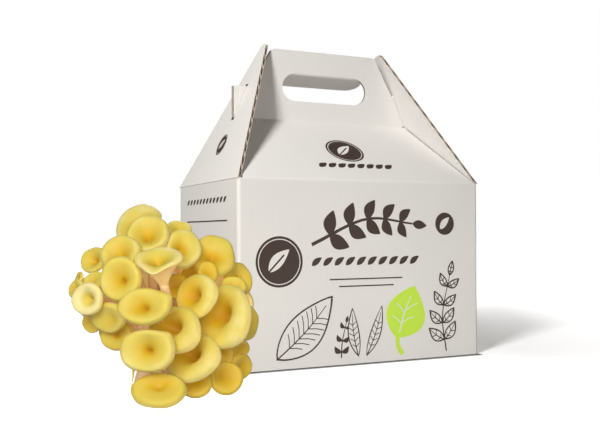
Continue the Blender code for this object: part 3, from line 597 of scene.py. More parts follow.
def ripple_group():
    """Parallel ripples across U of a UV map, a little uneven in strength: Height, 0 to 1."""
    group, given, result = new_group("Flute ripple", ("Height",), Pitch=0.063)
    u = add_node(group, "ShaderNodeSeparateXYZ", {0: given["Vector"]}).outputs[0]
    turn = number(group, "MULTIPLY", number(group, "DIVIDE", u, given["Pitch"]), 2 * math.pi)
    wave = number(group, "MULTIPLY", number(group, "SINE", turn), noise(group, given["Vector"], 2.2, 2.0))
    give(group, result, {"Height": number(group, "MULTIPLY_ADD", wave, 0.5, 0.5)})
    return group


def fibre_group():
    """Streaks that run along V of a UV map: Streak, 0 to 1, from a noise on a cylinder that is
    Around long once round and Along high."""
    group, given, result = new_group("Fibres", ("Streak",), Around=60.0, Along=3.0)
    u, v, _ = add_node(group, "ShaderNodeSeparateXYZ", {0: given["Vector"]}).outputs
    turn = number(group, "MULTIPLY", u, 2 * math.pi)
    radius = number(group, "DIVIDE", given["Around"], 2 * math.pi)
    x, y = (number(group, "MULTIPLY", number(group, wave, turn), radius) for wave in ("COSINE", "SINE"))
    z = number(group, "MULTIPLY", v, given["Along"])
    where = add_node(group, "ShaderNodeCombineXYZ", {0: x, 1: y, 2: z}).outputs[0]
    give(group, result, {"Streak": noise(group, where, 1.0, 4.0, 0.6)})
    return group


def place_group(tree, group, **inputs):
    """Place a node group in a material with its own values."""
    return add_node(tree, "ShaderNodeGroup", inputs, node_tree=group).outputs


def new_material(name, **constants):
    """A material, its tree and its Principled shader's sockets, some of them set."""
    material = bpy.data.materials.new(name)
    material.use_nodes = True
    tree = material.node_tree
    sockets = tree.nodes["Principled BSDF"].inputs
    give(tree, sockets, constants)
    return material, tree, sockets


class Finishes:
    def __init__(self):
        kit = bpy.context.scene.grow_kit
        card = kit.carton
        self.mottle, self.ripple, self.fibres = mottle_group(), ripple_group(), fibre_group()
        self.board = [
            self.liner("White card liner", card.card_colour, 0.70, 0.05),
            self.liner("Brown ink on card", card.brown_ink, 0.6, 0.10),
            self.liner("Green ink on card", card.green_ink, 0.55, 0.10),
            self.kraft("Cut liner edge", CUT_LINER),
            self.kraft("Kraft flutes", card.kraft_colour),
            # The liners' inner sides face the flutes inside the board: kraft darkened to 0.4 as painted shade
            self.kraft("Inside of the liners", scaled(card.kraft_colour, 0.4))]
        self.cap = self.cap_skin(kit.cluster)
        self.stem = self.stem_flesh(kit.cluster)
        self.bag = self.bag_film()

    def grain(self, tree, broad, fine):
        """The mottle on a piece at a broad and a fine scale."""
        return place_group(tree, self.mottle, Vector=coordinates(tree, "Object"), Broad_Scale=broad,
                           Fine_Scale=fine)

    def streak(self, tree, around, along):
        """The fibres on a piece that its UV map goes round."""
        return place_group(tree, self.fibres, Vector=coordinates(tree, "UV"), Around=around,
                           Along=along)["Streak"]

    def liner(self, name, colour, roughness, worn):
        """Coated paper over flutes: fine grain, faint ripples, and ink or liner colour."""
        material, tree, shader = new_material(name, Metallic=0.0, Specular_IOR_Level=0.35)
        grain = self.grain(tree, 14.0, 900.0)
        pitch = bpy.context.scene.grow_kit.carton.flute_pitch * MM * UV_PER_METRE
        ripple = place_group(tree, self.ripple, Vector=coordinates(tree, "UV"), Pitch=pitch)["Height"]
        wear = number(tree, "MULTIPLY", number(tree, "SUBTRACT", grain["Fine"], 0.35), worn)
        # The broad mottle is the card's own uneven tone; the ripple's small share is painted shade and light
        # along the flutes
        light = number(tree, "MULTIPLY_ADD", grain["Broad"], 0.07,
                       number(tree, "MULTIPLY_ADD", ripple, 0.012, 0.93))
        base = blend_colours(tree, wear, colour, [c + (1 - c) * 0.25 for c in colour])
        shaded = add_node(tree, "ShaderNodeVectorMath", {0: base, "Scale": light}, operation="SCALE")
        height = number(tree, "MULTIPLY_ADD", grain["Fine"], 0.18, ripple)
        give(tree, shader, {
            "Base Color": shaded.outputs[0],
            "Roughness": number(tree, "MULTIPLY_ADD", grain["Fine"], 0.12, roughness - 0.06),
            "Normal": relief(tree, height, 0.08, 0.00012)})
        return material

    def kraft(self, name, colour):
        """Brown paper with darker and lighter fibres."""
        material, tree, shader = new_material(name, Metallic=0.0, Specular_IOR_Level=0.25)
        grain = self.grain(tree, 160.0, 1400.0)
        give(tree, shader, {
            "Base Color": blend_colours(tree, grain["Height"], scaled(colour, 0.6), scaled(colour, 1.5)),
            "Roughness": number(tree, "MULTIPLY_ADD", grain["Fine"], 0.1, 0.8),
            "Normal": relief(tree, grain["Height"], 0.4, 0.0002)})
        return material

    def cap_skin(self, looks):
        """Golden cap skin that pales towards the rim, with pink-cream gills below, darker between the gills
        with painted shade. The thin margin and the gills have a faint painted glow that lightens their shade."""
        material, tree, shader = new_material(
            "Golden cap skin", Metallic=0.0, Specular_IOR_Level=0.22, Subsurface_Weight=0.4,
            Subsurface_Radius=(1.0, 0.7, 0.15), Subsurface_Scale=0.005, Emission_Strength=1.0)
        value = {key: add_node(tree, "ShaderNodeAttribute", attribute_name=key).outputs["Fac"]
                 for key in ("tone", "under", "margin", "shade", "groove")}
        grain = self.grain(tree, 70.0, 900.0)
        uneven = number(tree, "MULTIPLY", number(tree, "SUBTRACT", grain["Broad"], 0.5), 0.30)
        # Tone plus each cap's tint, which on some caps is painted shade and painted light
        tone = number(tree, "ADD", number(tree, "ADD", value["tone"], uneven), value["shade"])
        ramp = add_node(tree, "ShaderNodeValToRGB", {"Fac": tone})
        stops = ramp.color_ramp.elements
        stops.new(0.16)
        stops.new(0.6)
        for stop, colour in zip(stops, (looks.pale_colour, looks.crown_colour, looks.gold_colour,
                                        looks.depth_colour)):
            stop.color = (*colour, 1)
        # The gills darken between each other with painted shade
        gills = blend_colours(tree, value["groove"], looks.gill_colour,
                              scaled(looks.gill_colour, SHADE_BETWEEN_GILLS))
        skin = blend_colours(tree, value["margin"], ramp.outputs[0], MARGIN_COLOUR)
        # Where the painted glow goes: the gills and the thin margin
        thin = number(tree, "MAXIMUM", value["under"], value["margin"])
        height = number(tree, "MULTIPLY_ADD", self.streak(tree, 150.0, 5.0), 0.6, grain["Height"])
        give(tree, shader, {
            "Base Color": blend_colours(tree, value["under"], skin, gills),
            "Emission Color": blend_colours(tree, thin, BLACK, PAINTED_GLOW),
            "Roughness": number(tree, "MULTIPLY_ADD", grain["Fine"], 0.14, 0.42),
            "Normal": relief(tree, height, 0.16, 0.0003)})
        return material

    def stem_flesh(self, looks):
        """Cream flesh with paler and browner fibres along the stem."""
        material, tree, shader = new_material(
            "Cream stem flesh", Metallic=0.0, Specular_IOR_Level=0.3, Subsurface_Weight=0.2,
            Subsurface_Radius=(1.0, 0.6, 0.3), Subsurface_Scale=0.003)
        grain = self.grain(tree, 90.0, 700.0)
        streak = self.streak(tree, 46.0, 4.0)
        uneven = number(tree, "MULTIPLY_ADD", streak, 0.7, number(tree, "MULTIPLY", grain["Broad"], 0.4))
        dark = scaled(looks.stem_colour, BROWNER_FIBRES)
        height = number(tree, "MULTIPLY_ADD", streak, 1.6, grain["Fine"])
        give(tree, shader, {
            "Base Color": blend_colours(tree, uneven, dark, looks.stem_colour),
            "Roughness": number(tree, "MULTIPLY_ADD", grain["Fine"], 0.15, 0.5),
            "Normal": relief(tree, height, 0.35, 0.0006)})
        return material

    def bag_film(self):
        """Frosted film drawn tight over straw and sawdust with white growth in it."""
        material, tree, shader = new_material("Frosted bag film", Metallic=0.0, Coat_Weight=0.6,
                                              Coat_Roughness=0.22)
        grain = self.grain(tree, 28.0, 260.0)
        growth = add_node(tree, "ShaderNodeMapRange", {"Value": grain["Broad"], "From Min": 0.35,
                                                       "From Max": 0.62})
        straw = blend_colours(tree, grain["Fine"], DARK_STRAW, PALE_STRAW)
        give(tree, shader, {
            "Base Color": blend_colours(tree, growth.outputs[0], straw, WHITE_GROWTH),
            "Roughness": number(tree, "MULTIPLY_ADD", grain["Fine"], 0.2, 0.3),
            "Normal": relief(tree, grain["Height"], 0.5, 0.001)})
        return material


@functools.cache
def finishes():
    return Finishes()


# Print, in millimetres on a flat face

def inked(*outlines, ink=BROWN_INK):
    """Outlines printed in one ink, the last on top."""
    return [(ink, outline) for outline in outlines]


def disc(centre, radius, steps=44):
    """A circle's outline."""
    a = circle_angles(steps)
    return np.column_stack((centre[0] + radius * np.cos(a), centre[1] + radius * np.sin(a)))


def bar(low, high):
    """A rectangle between two corners."""
    return np.array(((low[0], low[1]), (high[0], low[1]), (high[0], high[1]), (low[0], high[1])), float)


def ribbon(points, width):
    """Outline of a drawn line: both its sides lie half its width off the line, across it."""
    points = np.asarray(points, float)
    along = np.gradient(points, axis=0)
    along /= np.linalg.norm(along, axis=1)[:, None]
    across = np.column_stack((-along[:, 1], along[:, 0])) * (np.broadcast_to(width, len(points)) / 2)[:, None]
    return np.vstack((points - across, (points + across)[::-1]))


def midrib(base, tip, bow, t):
    """A leaf's directions along and across it, and its midrib's points at the parts t of its
    length: it bows sideways by bow * sin(pi t)."""
    base, tip = np.asarray(base, float), np.asarray(tip, float)
    along = (tip - base) / np.linalg.norm(tip - base)
    across = np.array((-along[1], along[0]))
    return along, across, base + np.outer(t, tip - base) + np.outer(bow * np.sin(np.pi * t), across)


def leaf(base, tip, width, bow=0.0, steps=16):
    """Outline of a leaf: at the part t of its length it is width * sin(pi t)^0.8 * (1.2 - 0.45 t)
    wide about its midrib."""
    t = np.linspace(0, 1, steps)
    _, across, rib = midrib(base, tip, bow, t)
    half = np.outer(width / 2 * np.sin(np.pi * t) ** 0.8 * (1.2 - 0.45 * t), across)
    return np.vstack((rib - half, (rib + half)[-2:0:-1]))


def leaf_row(first, last, step, foot, size, width, bow):
    """A row of slanted leaves on a line, each reaching as far right and up as the size says."""
    return inked(*(leaf((x, foot), (x + size[0], foot + size[1]), width, bow)
                   for x in np.arange(first, last, step)))


def drawn_leaf(base, tip, width, line, bow=0.0, veins=4):
    """A line-drawn leaf: an inked outline around bare card, a midrib and pairs of veins."""
    base, tip = np.asarray(base, float), np.asarray(tip, float)
    t = np.linspace(0, 0.86, 10)
    along, across, rib = midrib(base, tip, bow, t)
    inset = along * line * 1.6
    prints = inked(leaf(base, tip, width, bow, 24))
    prints += inked(leaf(base + inset, tip - inset * 1.4, width - 2.4 * line, bow, 24), ink=CARD)
    prints += inked(ribbon(rib, line * (1.1 - 0.6 * t)))
    for k in range(veins):
        at = 0.2 + 0.55 * k / veins
        start = base + (tip - base) * at + across * bow * math.sin(math.pi * at)
        reach = width * 0.36 * math.sin(math.pi * (at + 0.08))
        for side in (-1, 1):
            end = start + across * side * reach + along * reach * 0.8
            prints += inked(ribbon((start, (start + end) / 2 + along * reach * 0.08, end), line * 0.7))
    return prints


def sprig(path, pairs, length, width, line, drawn=False, spread=0.9):
    """A stalk along a path with pairs of leaves, each turned off the stalk by the spread, and a
    leaf at its tip. Drawn leaves are line-drawn and the others solid."""
    def one_leaf(base, tip, broad, side):
        if drawn:
            return drawn_leaf(base, tip, broad, line, side * 1.2, 2)
        return inked(leaf(base, tip, broad, side * 1.5))

    prints = inked(ribbon(path, np.linspace(line * 1.3, line * 0.7, len(path))))
    steps = np.linspace(0.16, 0.86, pairs) * (len(path) - 1)
    for k, step in enumerate(steps):
        at = np.array([np.interp(step, np.arange(len(path)), path[:, axis]) for axis in (0, 1)])
        ahead = path[min(int(step) + 1, len(path) - 1)] - path[int(step)]
        size = 1 - 0.35 * k / pairs
        for side in (-1, 1):
            a = math.atan2(ahead[1], ahead[0]) + side * spread
            tip = at + np.array((math.cos(a), math.sin(a))) * length * size
            prints += one_leaf(at, tip, width * size, side)
    ahead = path[-1] - path[-2]
    tip = path[-1] + ahead / np.linalg.norm(ahead) * length * 0.7
    return prints + one_leaf(path[-1], tip, width * 0.65, 0)


def curve(start, middle, end, steps=12):
    """Points on the arc of a parabola through three points."""
    return smooth_line((start, middle, end), steps)


def badge(centre, radius):
    """An inked disc with a ring and a leaf left bare."""
    def at(x, y):
        return centre[0] + radius * x, centre[1] + radius * y

    return [(BROWN_INK, disc(centre, radius)),
            (CARD, disc(centre, radius * 0.90)),
            (BROWN_INK, disc(centre, radius * 0.865)),
            (CARD, leaf(at(-0.45, -0.40), at(0.42, 0.48), radius * 0.52, radius * 0.05)),
            (BROWN_INK, ribbon((at(-0.45, -0.4), at(0, 0.06), at(0.2, 0.27)), radius * 0.07))]


def front_print():
    """The front's print about its middle: a sprig, rules, badges and a row of drawn plants."""
    prints = badge((-83, 90), 21.5)
    prints += sprig(curve((-53, 104), (0, 126), (48, 122)), 5, 22, 12.5, 2.4, spread=0.95)
    prints += leaf_row(-53, 46, 10.9, 86, (9.6, 7), 5.4, 0.4)
    prints += inked(bar((-36, 73.2), (37, 74.4)), bar((-27, 67), (28, 68.2)), disc((83, 122), 10.3))
    prints += inked(leaf((78, 117), (88, 128), 6.5, 0.6), ink=CARD)
    prints += drawn_leaf((-86, 8), (-33, 60), 34, 1.2, -3, 7)
    prints += sprig(curve((-25, 6), (-24, 20), (-20, 36)), 3, 9, 4.8, 1.0)
    prints += drawn_leaf((-8, 6), (-14, 49), 12, 1.0, 2, 5)
    prints += drawn_leaf((0, 6), (16, 50), 11, 1.0, -2, 5)
    prints += inked(leaf((30, 20), (50, 66), 42, -2), ribbon(curve((37, 5), (32, 14), (33, 26)), 4.4),
                    ink=GREEN_INK)
    prints += inked(ribbon(curve((34, 25), (39, 42), (46, 57)), np.linspace(1.5, 0.7, 12)), ink=CARD)
    for start, end in (((36, 32), (27, 40)), ((37, 34), (49, 38)), ((39, 42), (31, 51)),
                       ((40, 44), (53, 50))):
        prints += inked(ribbon((start, (np.array(start) + end) / 2 + (0, 0.8), end), 0.8), ink=CARD)
    return prints + sprig(curve((84, 5), (80, 38), (88, 74)), 4, 21, 11, 1.1, drawn=True, spread=0.8)


def side_print():
    """A side wall's print about its middle: a row of small leaves over a rule."""
    return leaf_row(-56, 54, 9.4, 141, (8, 4.5), 4, 0.3) + inked(bar((-57, 124.2), (57, 125.6)))


def moved(prints, across):
    """Print moved across."""
    return [(ink, outline + (across, 0)) for ink, outline in prints]


# Card

class Flat(NamedTuple):
    """Triangles of flat, printed card, in millimetres."""
    points: np.ndarray
    triangles: np.ndarray
    inks: np.ndarray


def flat_card(outline, holes=(), lines=(), prints=()):
    """Cut a flat piece of card into triangles along its outline, its holes, the lines where
    it bends and the edges of its print, which lies in layers, the last on top."""
    points, edges, faces = [], [], []
    for shape in (outline, *holes, *(shape for _, shape in prints)):
        shape = np.asarray(shape, float)
        x, y = shape.T
        if (x * np.roll(y, -1) - y * np.roll(x, -1)).sum() < 0:
            shape = shape[::-1]
        faces.append(list(range(len(points), len(points) + len(shape))))
        points += [Vector(p) for p in shape.tolist()]
    for line in lines:
        edges.append((len(points), len(points) + 1))
        points += [Vector(p) for p in line]
    places, _, triangles, _, _, origins = delaunay_2d_cdt(points, edges, faces, 1, 1e-5)
    kept, inks = [], []
    for triangle, origin in zip(triangles, origins):
        inside = set(origin)
        if 0 in inside and not inside & set(range(1, 1 + len(holes))):
            top = max(inside)
            kept.append(triangle)
            inks.append(prints[top - 1 - len(holes)][0] if top > len(holes) else CARD)
    used, triangles = np.unique(np.array(kept), return_inverse=True)
    return Flat(np.array([tuple(p) for p in places])[used], triangles.reshape(-1, 3), np.array(inks))


def sheet(flat, shape, near, far, outer=None, inner=CARD, rim=LINER_EDGE, skip_rim=None):
    """A closed sheet of card on a flat cut: its outer side lies as deep as near says, and its
    inner side as far says, below the surface that the shape function gives together with its
    directions outwards. Returns points, triangles, material slots and UV corners."""
    surface, outwards = shape(flat.points)
    x = flat.points[:, 0]
    depths = [(d(x) if callable(d) else np.full(len(x), float(d)))[:, None] for d in (near, far)]
    points = np.vstack([surface - outwards * d for d in depths]) * MM
    n = len(flat.points)
    tri = flat.triangles
    sides = np.vstack((tri[:, [0, 1]], tri[:, [1, 2]], tri[:, [2, 0]]))
    keys = sides[:, 0] * n + sides[:, 1]
    border = sides[~np.isin(keys, sides[:, 1] * n + sides[:, 0])]
    if skip_rim is not None:
        border = border[~skip_rim(flat.points[border])]
    a, b = border.T
    faces = np.vstack((tri, tri[:, ::-1] + n, np.column_stack((a, a + n, b + n)),
                       np.column_stack((a, b + n, b))))
    inks = flat.inks if outer is None else np.full(len(tri), outer)
    slots = np.concatenate((inks, np.full(len(tri), inner), np.full(2 * len(border), rim)))
    uv = np.vstack((flat.points, flat.points)) * MM * UV_PER_METRE
    return points, faces, slots, uv[faces]


def room_around(outline):
    """An outline's lowest and highest corners, 1 mm wider, so that cuts cross it whole."""
    return np.min(outline, axis=0) - 1, np.max(outline, axis=0) + 1


def board(outline, shape, holes=(), bends=(), prints=()):
    """Corrugated board: two liners, and between them a layer that waves across the board as a
    sine. Returns its three sheets."""
    looks = bpy.context.scene.grow_kit.carton
    liner, pitch = looks.liner, looks.flute_pitch
    low, high = room_around(outline)
    bend_lines = [((low[0], s), (high[0], s)) for s in bends]
    plain = flat_card(outline, holes, bend_lines)
    printed = flat_card(outline, holes, bend_lines, prints) if prints else plain
    columns = np.arange(low[0], high[0], pitch / FLUTE_STEPS)
    waved = flat_card(outline, holes, bend_lines + [((x, low[1]), (x, high[1])) for x in columns])
    reach = BOARD / 2 - liner - FLUTE_PAPER / 2

    def crest(x):
        return BOARD / 2 + reach * np.sin(2 * np.pi * x / pitch) - FLUTE_PAPER / 2

    return [sheet(printed, shape, 0, liner, inner=SHADED_INSIDE),
            sheet(waved, shape, crest, lambda x: crest(x) + FLUTE_PAPER, FLUTES, FLUTES, FLUTES),
            sheet(plain, shape, BOARD - liner, BOARD, SHADED_INSIDE)]


def solid_board(outline, shape, bends, prints, skip_rim):
    """Board whose cut edges don't show: one closed sheet."""
    low, high = room_around(outline)
    flat = flat_card(outline, (), [((s, low[1]), (s, high[1])) for s in bends], prints)
    return [sheet(flat, shape, 0, BOARD, skip_rim=skip_rim)]


def card_piece(name, sheets):
    """One object of several sheets of card."""
    points, faces, slots, corners = joined(sheets)
    return new_piece(name, points, faces, finishes().board, corners, slots, smooth=False)


class Bent(NamedTuple):
    """A line in a plane with rounded corners, in millimetres."""
    s: np.ndarray           # distance along it
    places: np.ndarray
    outwards: np.ndarray
    bends: list             # distances where it turns


def bent_line(corners, radii, turn):
    """Round a line's corners, each by an arc that touches both its sides. The outward
    direction is the line's own, turned by 90 degrees to the left for turn 1, or right for -1."""
    corners = np.asarray(corners, float)
    steps = np.diff(corners, axis=0)
    ways = steps / np.linalg.norm(steps, axis=1)[:, None]
    left = np.column_stack((-ways[:, 1], ways[:, 0]))
    places, outwards, marks = [corners[0]], [turn * left[0]], []
    for k, radius in enumerate(radii):
        a, b = ways[k], ways[k + 1]
        angle = math.atan2(a[0] * b[1] - a[1] * b[0], float(a @ b))
        start = corners[k + 1] - a * radius * math.tan(abs(angle) / 2)
        side = math.copysign(1, angle)
        centre = start + left[k] * radius * side
        turns = np.linspace(0, angle, max(3, round(abs(angle) / BEND_STEP)))
        c, s = np.cos(turns), np.sin(turns)
        swung = np.column_stack((c * left[k][0] - s * left[k][1], s * left[k][0] + c * left[k][1]))
        marks += range(len(places), len(places) + len(turns))
        places += list(centre - swung * radius * side)
        outwards += list(turn * swung)
    places.append(corners[-1])
    outwards.append(turn * left[-1])
    places, outwards = np.array(places), np.array(outwards)
    s = np.concatenate(([0], np.cumsum(np.linalg.norm(np.diff(places, axis=0), axis=1))))
    return Bent(s, places, outwards, [float(s[m]) for m in marks])


def along(bent, s):
    """Places and outward directions of a bent line at distances along it."""
    return [np.column_stack([np.interp(s, bent.s, values[:, k]) for k in (0, 1)])
            for values in (bent.places, bent.outwards)]


def end_face_x(z):
    """Half the width between the end panels' inner faces at a height."""
    return CARTON_W / 2 - (z - WALL_H) * math.tan(END_LEAN) - BOARD / math.cos(END_LEAN)


def hand_hole(extra, raised=0.0, steps=14):
    """Outline of the hand hole with round ends, this much wider all round; raised cuts its
    straight upper edge higher, where the flap folds back."""
    r = HAND_HOLE_H / 2 + extra
    reach = (HAND_HOLE_W - HAND_HOLE_H) / 2
    a = np.radians(np.linspace(-90, 90, steps))
    right = np.column_stack((reach + r * np.cos(a), HAND_HOLE_Z + r * np.sin(a)))
    if raised:
        right = np.vstack((right, (reach, HAND_HOLE_Z + r + raised)))
    return mirrored(right)


def lid_line():
    """The front lid's outer side from the wall over its fold, up the roof and up the handle,
    in Y and Z."""
    half = CARTON_D / 2
    return bent_line(((-half, LID_FOOT_Z), (-half, WALL_H), (LID_FACE_Y, RIDGE_Z),
                      (LID_FACE_Y, HANDLE_TOP_Z)), (FOLD_R, CREASE_R), 1)


def lid_sheets(side):
    """Sheets of a lid: the card of its roof, handle and hooks, bent from one flat outline. The
    front one (side -1) is printed and has the hand hole's flap, and the back one is bare."""
    bent = lid_line()

    def shape(points):
        places, outwards = along(bent, points[:, 1])
        turned = 1 if side < 0 else -1
        return (np.column_stack((points[:, 0] * turned, places * (turned, 1))),
                np.column_stack((np.zeros(len(points)), outwards * (turned, 1))))

    def at(z):
        return bent.s[-1] - (HANDLE_TOP_Z - z)

    clearance = BOARD / 2
    low = end_face_x(WALL_H) - clearance
    high = end_face_x(RIDGE_Z) - clearance
    foot = end_face_x(RIDGE_Z) - BOARD
    fold, ridge = WALL_H - LID_FOOT_Z, at(RIDGE_Z)
    hook_foot = at(RIDGE_Z + HOOK_FOOT)
    top = np.array((HANDLE_TOP_HALF, at(HANDLE_TOP_Z)))
    neck = np.array((NECK_HALF, at(HOOK_TOP_Z)))
    below = top + (neck - top) / np.linalg.norm(neck - top) * HANDLE_CORNER
    right = np.array(((low, 0), (low, fold), (high, ridge - HOOK_FOOT), (foot, ridge - HOOK_FOOT / 2),
                      (foot, hook_foot), (HOOK_HALF, hook_foot), (HOOK_HALF, at(HOOK_TOP_Z)),
                      neck, below, (HANDLE_TOP_HALF - HANDLE_CORNER, at(HANDLE_TOP_Z))))
    if side > 0:
        return board(mirrored(right), shape, [hand_hole(BACK_HOLE_EXTRA) + (0, at(0))], bent.bends)
    middle = (fold + ridge) / 2
    prints = badge((0, middle - 1), 18.5) + leaf_row(-37, 32, 9.6, middle - 30, (9.4, 7), 6.2, 0.4)
    hole = hand_hole(0, FLAP_RISE) + (0, at(0))
    return board(mirrored(right), shape, [hole], bent.bends, prints) + flap_sheets()


def flap_sheets():
    """The hand hole's flap: it hangs from the hole's upper edge and is folded back and down."""
    top = HAND_HOLE_Z + HAND_HOLE_H / 2
    corner = np.array((LID_FACE_Y, top - FLAP_RISE))
    end = corner + HAND_HOLE_H * np.array((math.cos(FLAP_DROOP), -math.sin(FLAP_DROOP)))
    bent = bent_line(((LID_FACE_Y, top + FLAP_RISE), corner, end), (FLAP_FOLD_R,), -1)

    def shape(points):
        places, outwards = along(bent, points[:, 1])
        return (np.column_stack((-points[:, 0], places)),
                np.column_stack((np.zeros(len(points)), outwards)))

    half = (HAND_HOLE_W - HAND_HOLE_H) / 2 - FLAP_ROOM
    r = HAND_HOLE_H / 2 - GAP
    a = np.radians(np.linspace(-70, 90, 12))
    round_end = np.column_stack((half + r * np.cos(a), FLAP_RISE + r + GAP + r * np.sin(a)))
    right = np.vstack(((half, 0), (half, FLAP_RISE), round_end))
    return board(mirrored(right), shape, (), bent.bends)


def wall_sheets():
    """Sheets of the carton's four walls, bent from one strip, and of its underside's flaps."""
    w, d = CARTON_W / 2, CARTON_D / 2
    bent = bent_line(((0, d), (-w, d), (-w, -d), (w, -d), (w, d), (0, d)), (FOLD_R,) * 4, -1)
    length = bent.s[-1]

    def shape(points):
        places, outwards = along(bent, points[:, 0])
        return (np.column_stack((places, points[:, 1])),
                np.column_stack((outwards, np.zeros(len(points)))))

    # the upper edge steps down under each lid
    half_front = end_face_x(WALL_H) - BOARD / 2
    notch = [(half_front, LID_FOOT_Z), (half_front, WALL_H),
             (length / 2 - half_front, WALL_H), (length / 2 - half_front, LID_FOOT_Z),
             (length / 2 + half_front, LID_FOOT_Z), (length / 2 + half_front, WALL_H),
             (length - half_front, WALL_H), (length - half_front, LID_FOOT_Z)]
    outline = np.array([(0, 0), (length, 0), (length, LID_FOOT_Z), *reversed(notch), (0, LID_FOOT_Z)])
    # from the front's middle to a side's, round one folded corner
    span = (w + d) - 2 * FOLD_R + math.pi / 2 * FOLD_R
    prints = moved(front_print(), length / 2)
    prints += moved(side_print(), length / 2 - span) + moved(side_print(), length / 2 + span)

    def seam(pairs):
        x = pairs[:, :, 0]
        return (x < 1e-3).all(1) | (x > length - 1e-3).all(1)

    sheets = solid_board(outline, shape, bent.bends, prints, seam)
    inset = BOARD + UNDERSIDE_ROOM
    flat = flat_card(bar((inset - w, UNDERSIDE_HALF_GAP), (w - inset, d - inset)))
    flat = flat._replace(triangles=flat.triangles[:, ::-1])
    for side in (-1, 1):
        def under(points, side=side):
            return (np.column_stack((points[:, 0] * side, points[:, 1] * side, np.zeros(len(points)))),
                    np.tile((0.0, 0.0, -1.0), (len(points), 1)))

        sheets.append(sheet(flat, under, UNDERSIDE_FLAP_Z, 2 * BOARD))
    return sheets


def end_outline():
    """Outline of an end panel: a triangle on the fold with a rounded tip."""
    half = CARTON_D / 2
    centre = END_SLANT - END_TIP_R
    reach = math.hypot(half, centre)
    start = math.pi / 2 - (math.atan2(centre, half) - math.asin(END_TIP_R / reach))
    a = np.pi / 2 + np.linspace(-start, start, 15)
    tip = np.column_stack((END_TIP_R * np.cos(a), centre + END_TIP_R * np.sin(a)))
    return np.vstack(((-half, GAP), (half, GAP), tip))


def end_sheets(side):
    """Sheets of an end panel, leaning in from its fold; side is -1 at the left, 1 at the right."""
    hinge = np.array((side * CARTON_W / 2, 0, WALL_H))
    across = np.array((0, side, 0))
    up = np.array((-side * math.sin(END_LEAN), 0, math.cos(END_LEAN)))
    out = np.array((side * math.cos(END_LEAN), 0, math.sin(END_LEAN)))

    def shape(points):
        return (hinge + points[:, :1] * across + points[:, 1:] * up,
                np.tile(out, (len(points), 1)))

    slot = bar((-SLOT_HALF, SLOT_FROM), (SLOT_HALF, SLOT_TO))
    prints = badge((0, 38.6), 10.5) if side < 0 else []
    return board(end_outline(), shape, [slot], (), prints)


def fold_bead(side):
    """A thin bead of card along an end panel's fold, as card_piece takes it."""
    half = CARTON_D / 2 * MM
    x, z = side * CARTON_W / 2 * MM, WALL_H * MM
    line = [(x, y, z) for y in np.linspace(-half, half, 5)]
    points, quads, _ = tube(line, np.full(5, HINGE_BEAD_R * MM), 12)
    triangles = np.vstack((quads[:, [0, 1, 2]], quads[:, [0, 2, 3]]))
    flat = np.column_stack((points[:, 1], points[:, 2] - z)) * UV_PER_METRE
    return points, triangles, np.full(len(triangles), CARD), flat[triangles]


def tube(path, radii, sides):
    """A tube along a path: a circle of each radius across the line, closed by a point at
    both ends. Radii is one number, or one for each side, for each point of the path. Returns
    points, quads and UV corners."""
    path, radii = np.asarray(path, float), np.asarray(radii, float)
    ways = np.gradient(path, axis=0)
    ways /= np.linalg.norm(ways, axis=1)[:, None]
    span = path[-1] - path[0]
    side = np.cross(span, ways[0] - ways[-1])
    if np.linalg.norm(side) < 1e-9:
        side = np.cross(span, np.eye(3)[np.argmin(np.abs(span))])
    side /= np.linalg.norm(side)
    one = np.cross(ways, side)
    one /= np.linalg.norm(one, axis=1)[:, None]
    two = np.cross(ways, one)
    a = circle_angles(sides)[:, None]
    ring = one[:, None] * np.cos(a) + two[:, None] * np.sin(a)
    points = path[:, None] + ring * radii.reshape(len(path), -1, 1)
    start, end = (np.repeat(path[k][None, None], sides, 1) for k in (0, -1))
    points = np.concatenate((start, points, end))
    return points.reshape(-1, 3), *closed_grid(len(points), sides, flipped=True)


# Cluster

def turned(points):
    """Points of the cluster's own frame, in the world."""
    return points @ CLUSTER_AXES + CLUSTER_AT


def cap_frame(cap):
    """A cap's right, up and facing directions as rows."""
    out = np.array(cap.facing, float)
    out /= np.linalg.norm(out)
    right = np.cross((0, 0, 1), out)
    right /= np.linalg.norm(right)
    return np.array((right, np.cross(out, right), out))


def cap_oval(cap, count):
    """Directions around a cap, and an oval's points there in parts of its radius."""
    a = circle_angles(count)
    ratio, turn = cap.oval
    c, s = math.cos(math.radians(turn)), math.sin(math.radians(turn))
    stretch = np.array((math.sqrt(ratio), 1 / math.sqrt(ratio)))
    return a, np.stack((np.cos(a), np.sin(a)), 1) * stretch @ np.array(((c, s), (-s, c)))


def flare_share(r):
    """Part of a flare's depth at a distance from the axis: none at the margin, all at the stem."""
    return np.clip((1 - r) / (1 - STEM_RING[0]), 0, 1) ** FLARE_POWER


def pull_share(r):
    """Part of the dimple's shift at a distance from the axis: none at the margin, all at 0."""
    return (1 - np.minimum(r, 1)) ** PULL_POWER


def cap_place(cap):
    """Where a cap settled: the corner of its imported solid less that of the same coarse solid
    worked out about the origin."""
    count = next(sides for limit, sides in RIM_SIDES if cap.radius < limit)
    _, oval = cap_oval(cap, count)
    profile = [(r, h * cap.dimple) for r, h in DIMPLE_RINGS] + list(OUTER_RINGS[:-1])
    profile += [(r, h - cap.flare * flare_share(r)) for r, h in (OUTER_RINGS[-1], STEM_RING)]
    rings = [np.column_stack((oval * r + np.array(cap.pull) * pull_share(r), np.full(count, h)))
             for r, h in profile]
    points = np.vstack(rings) * cap.radius * MM @ cap_frame(cap)
    return (np.array(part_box(cap.name)[0]) - turned(points).min(0)) @ CLUSTER_AXES.T


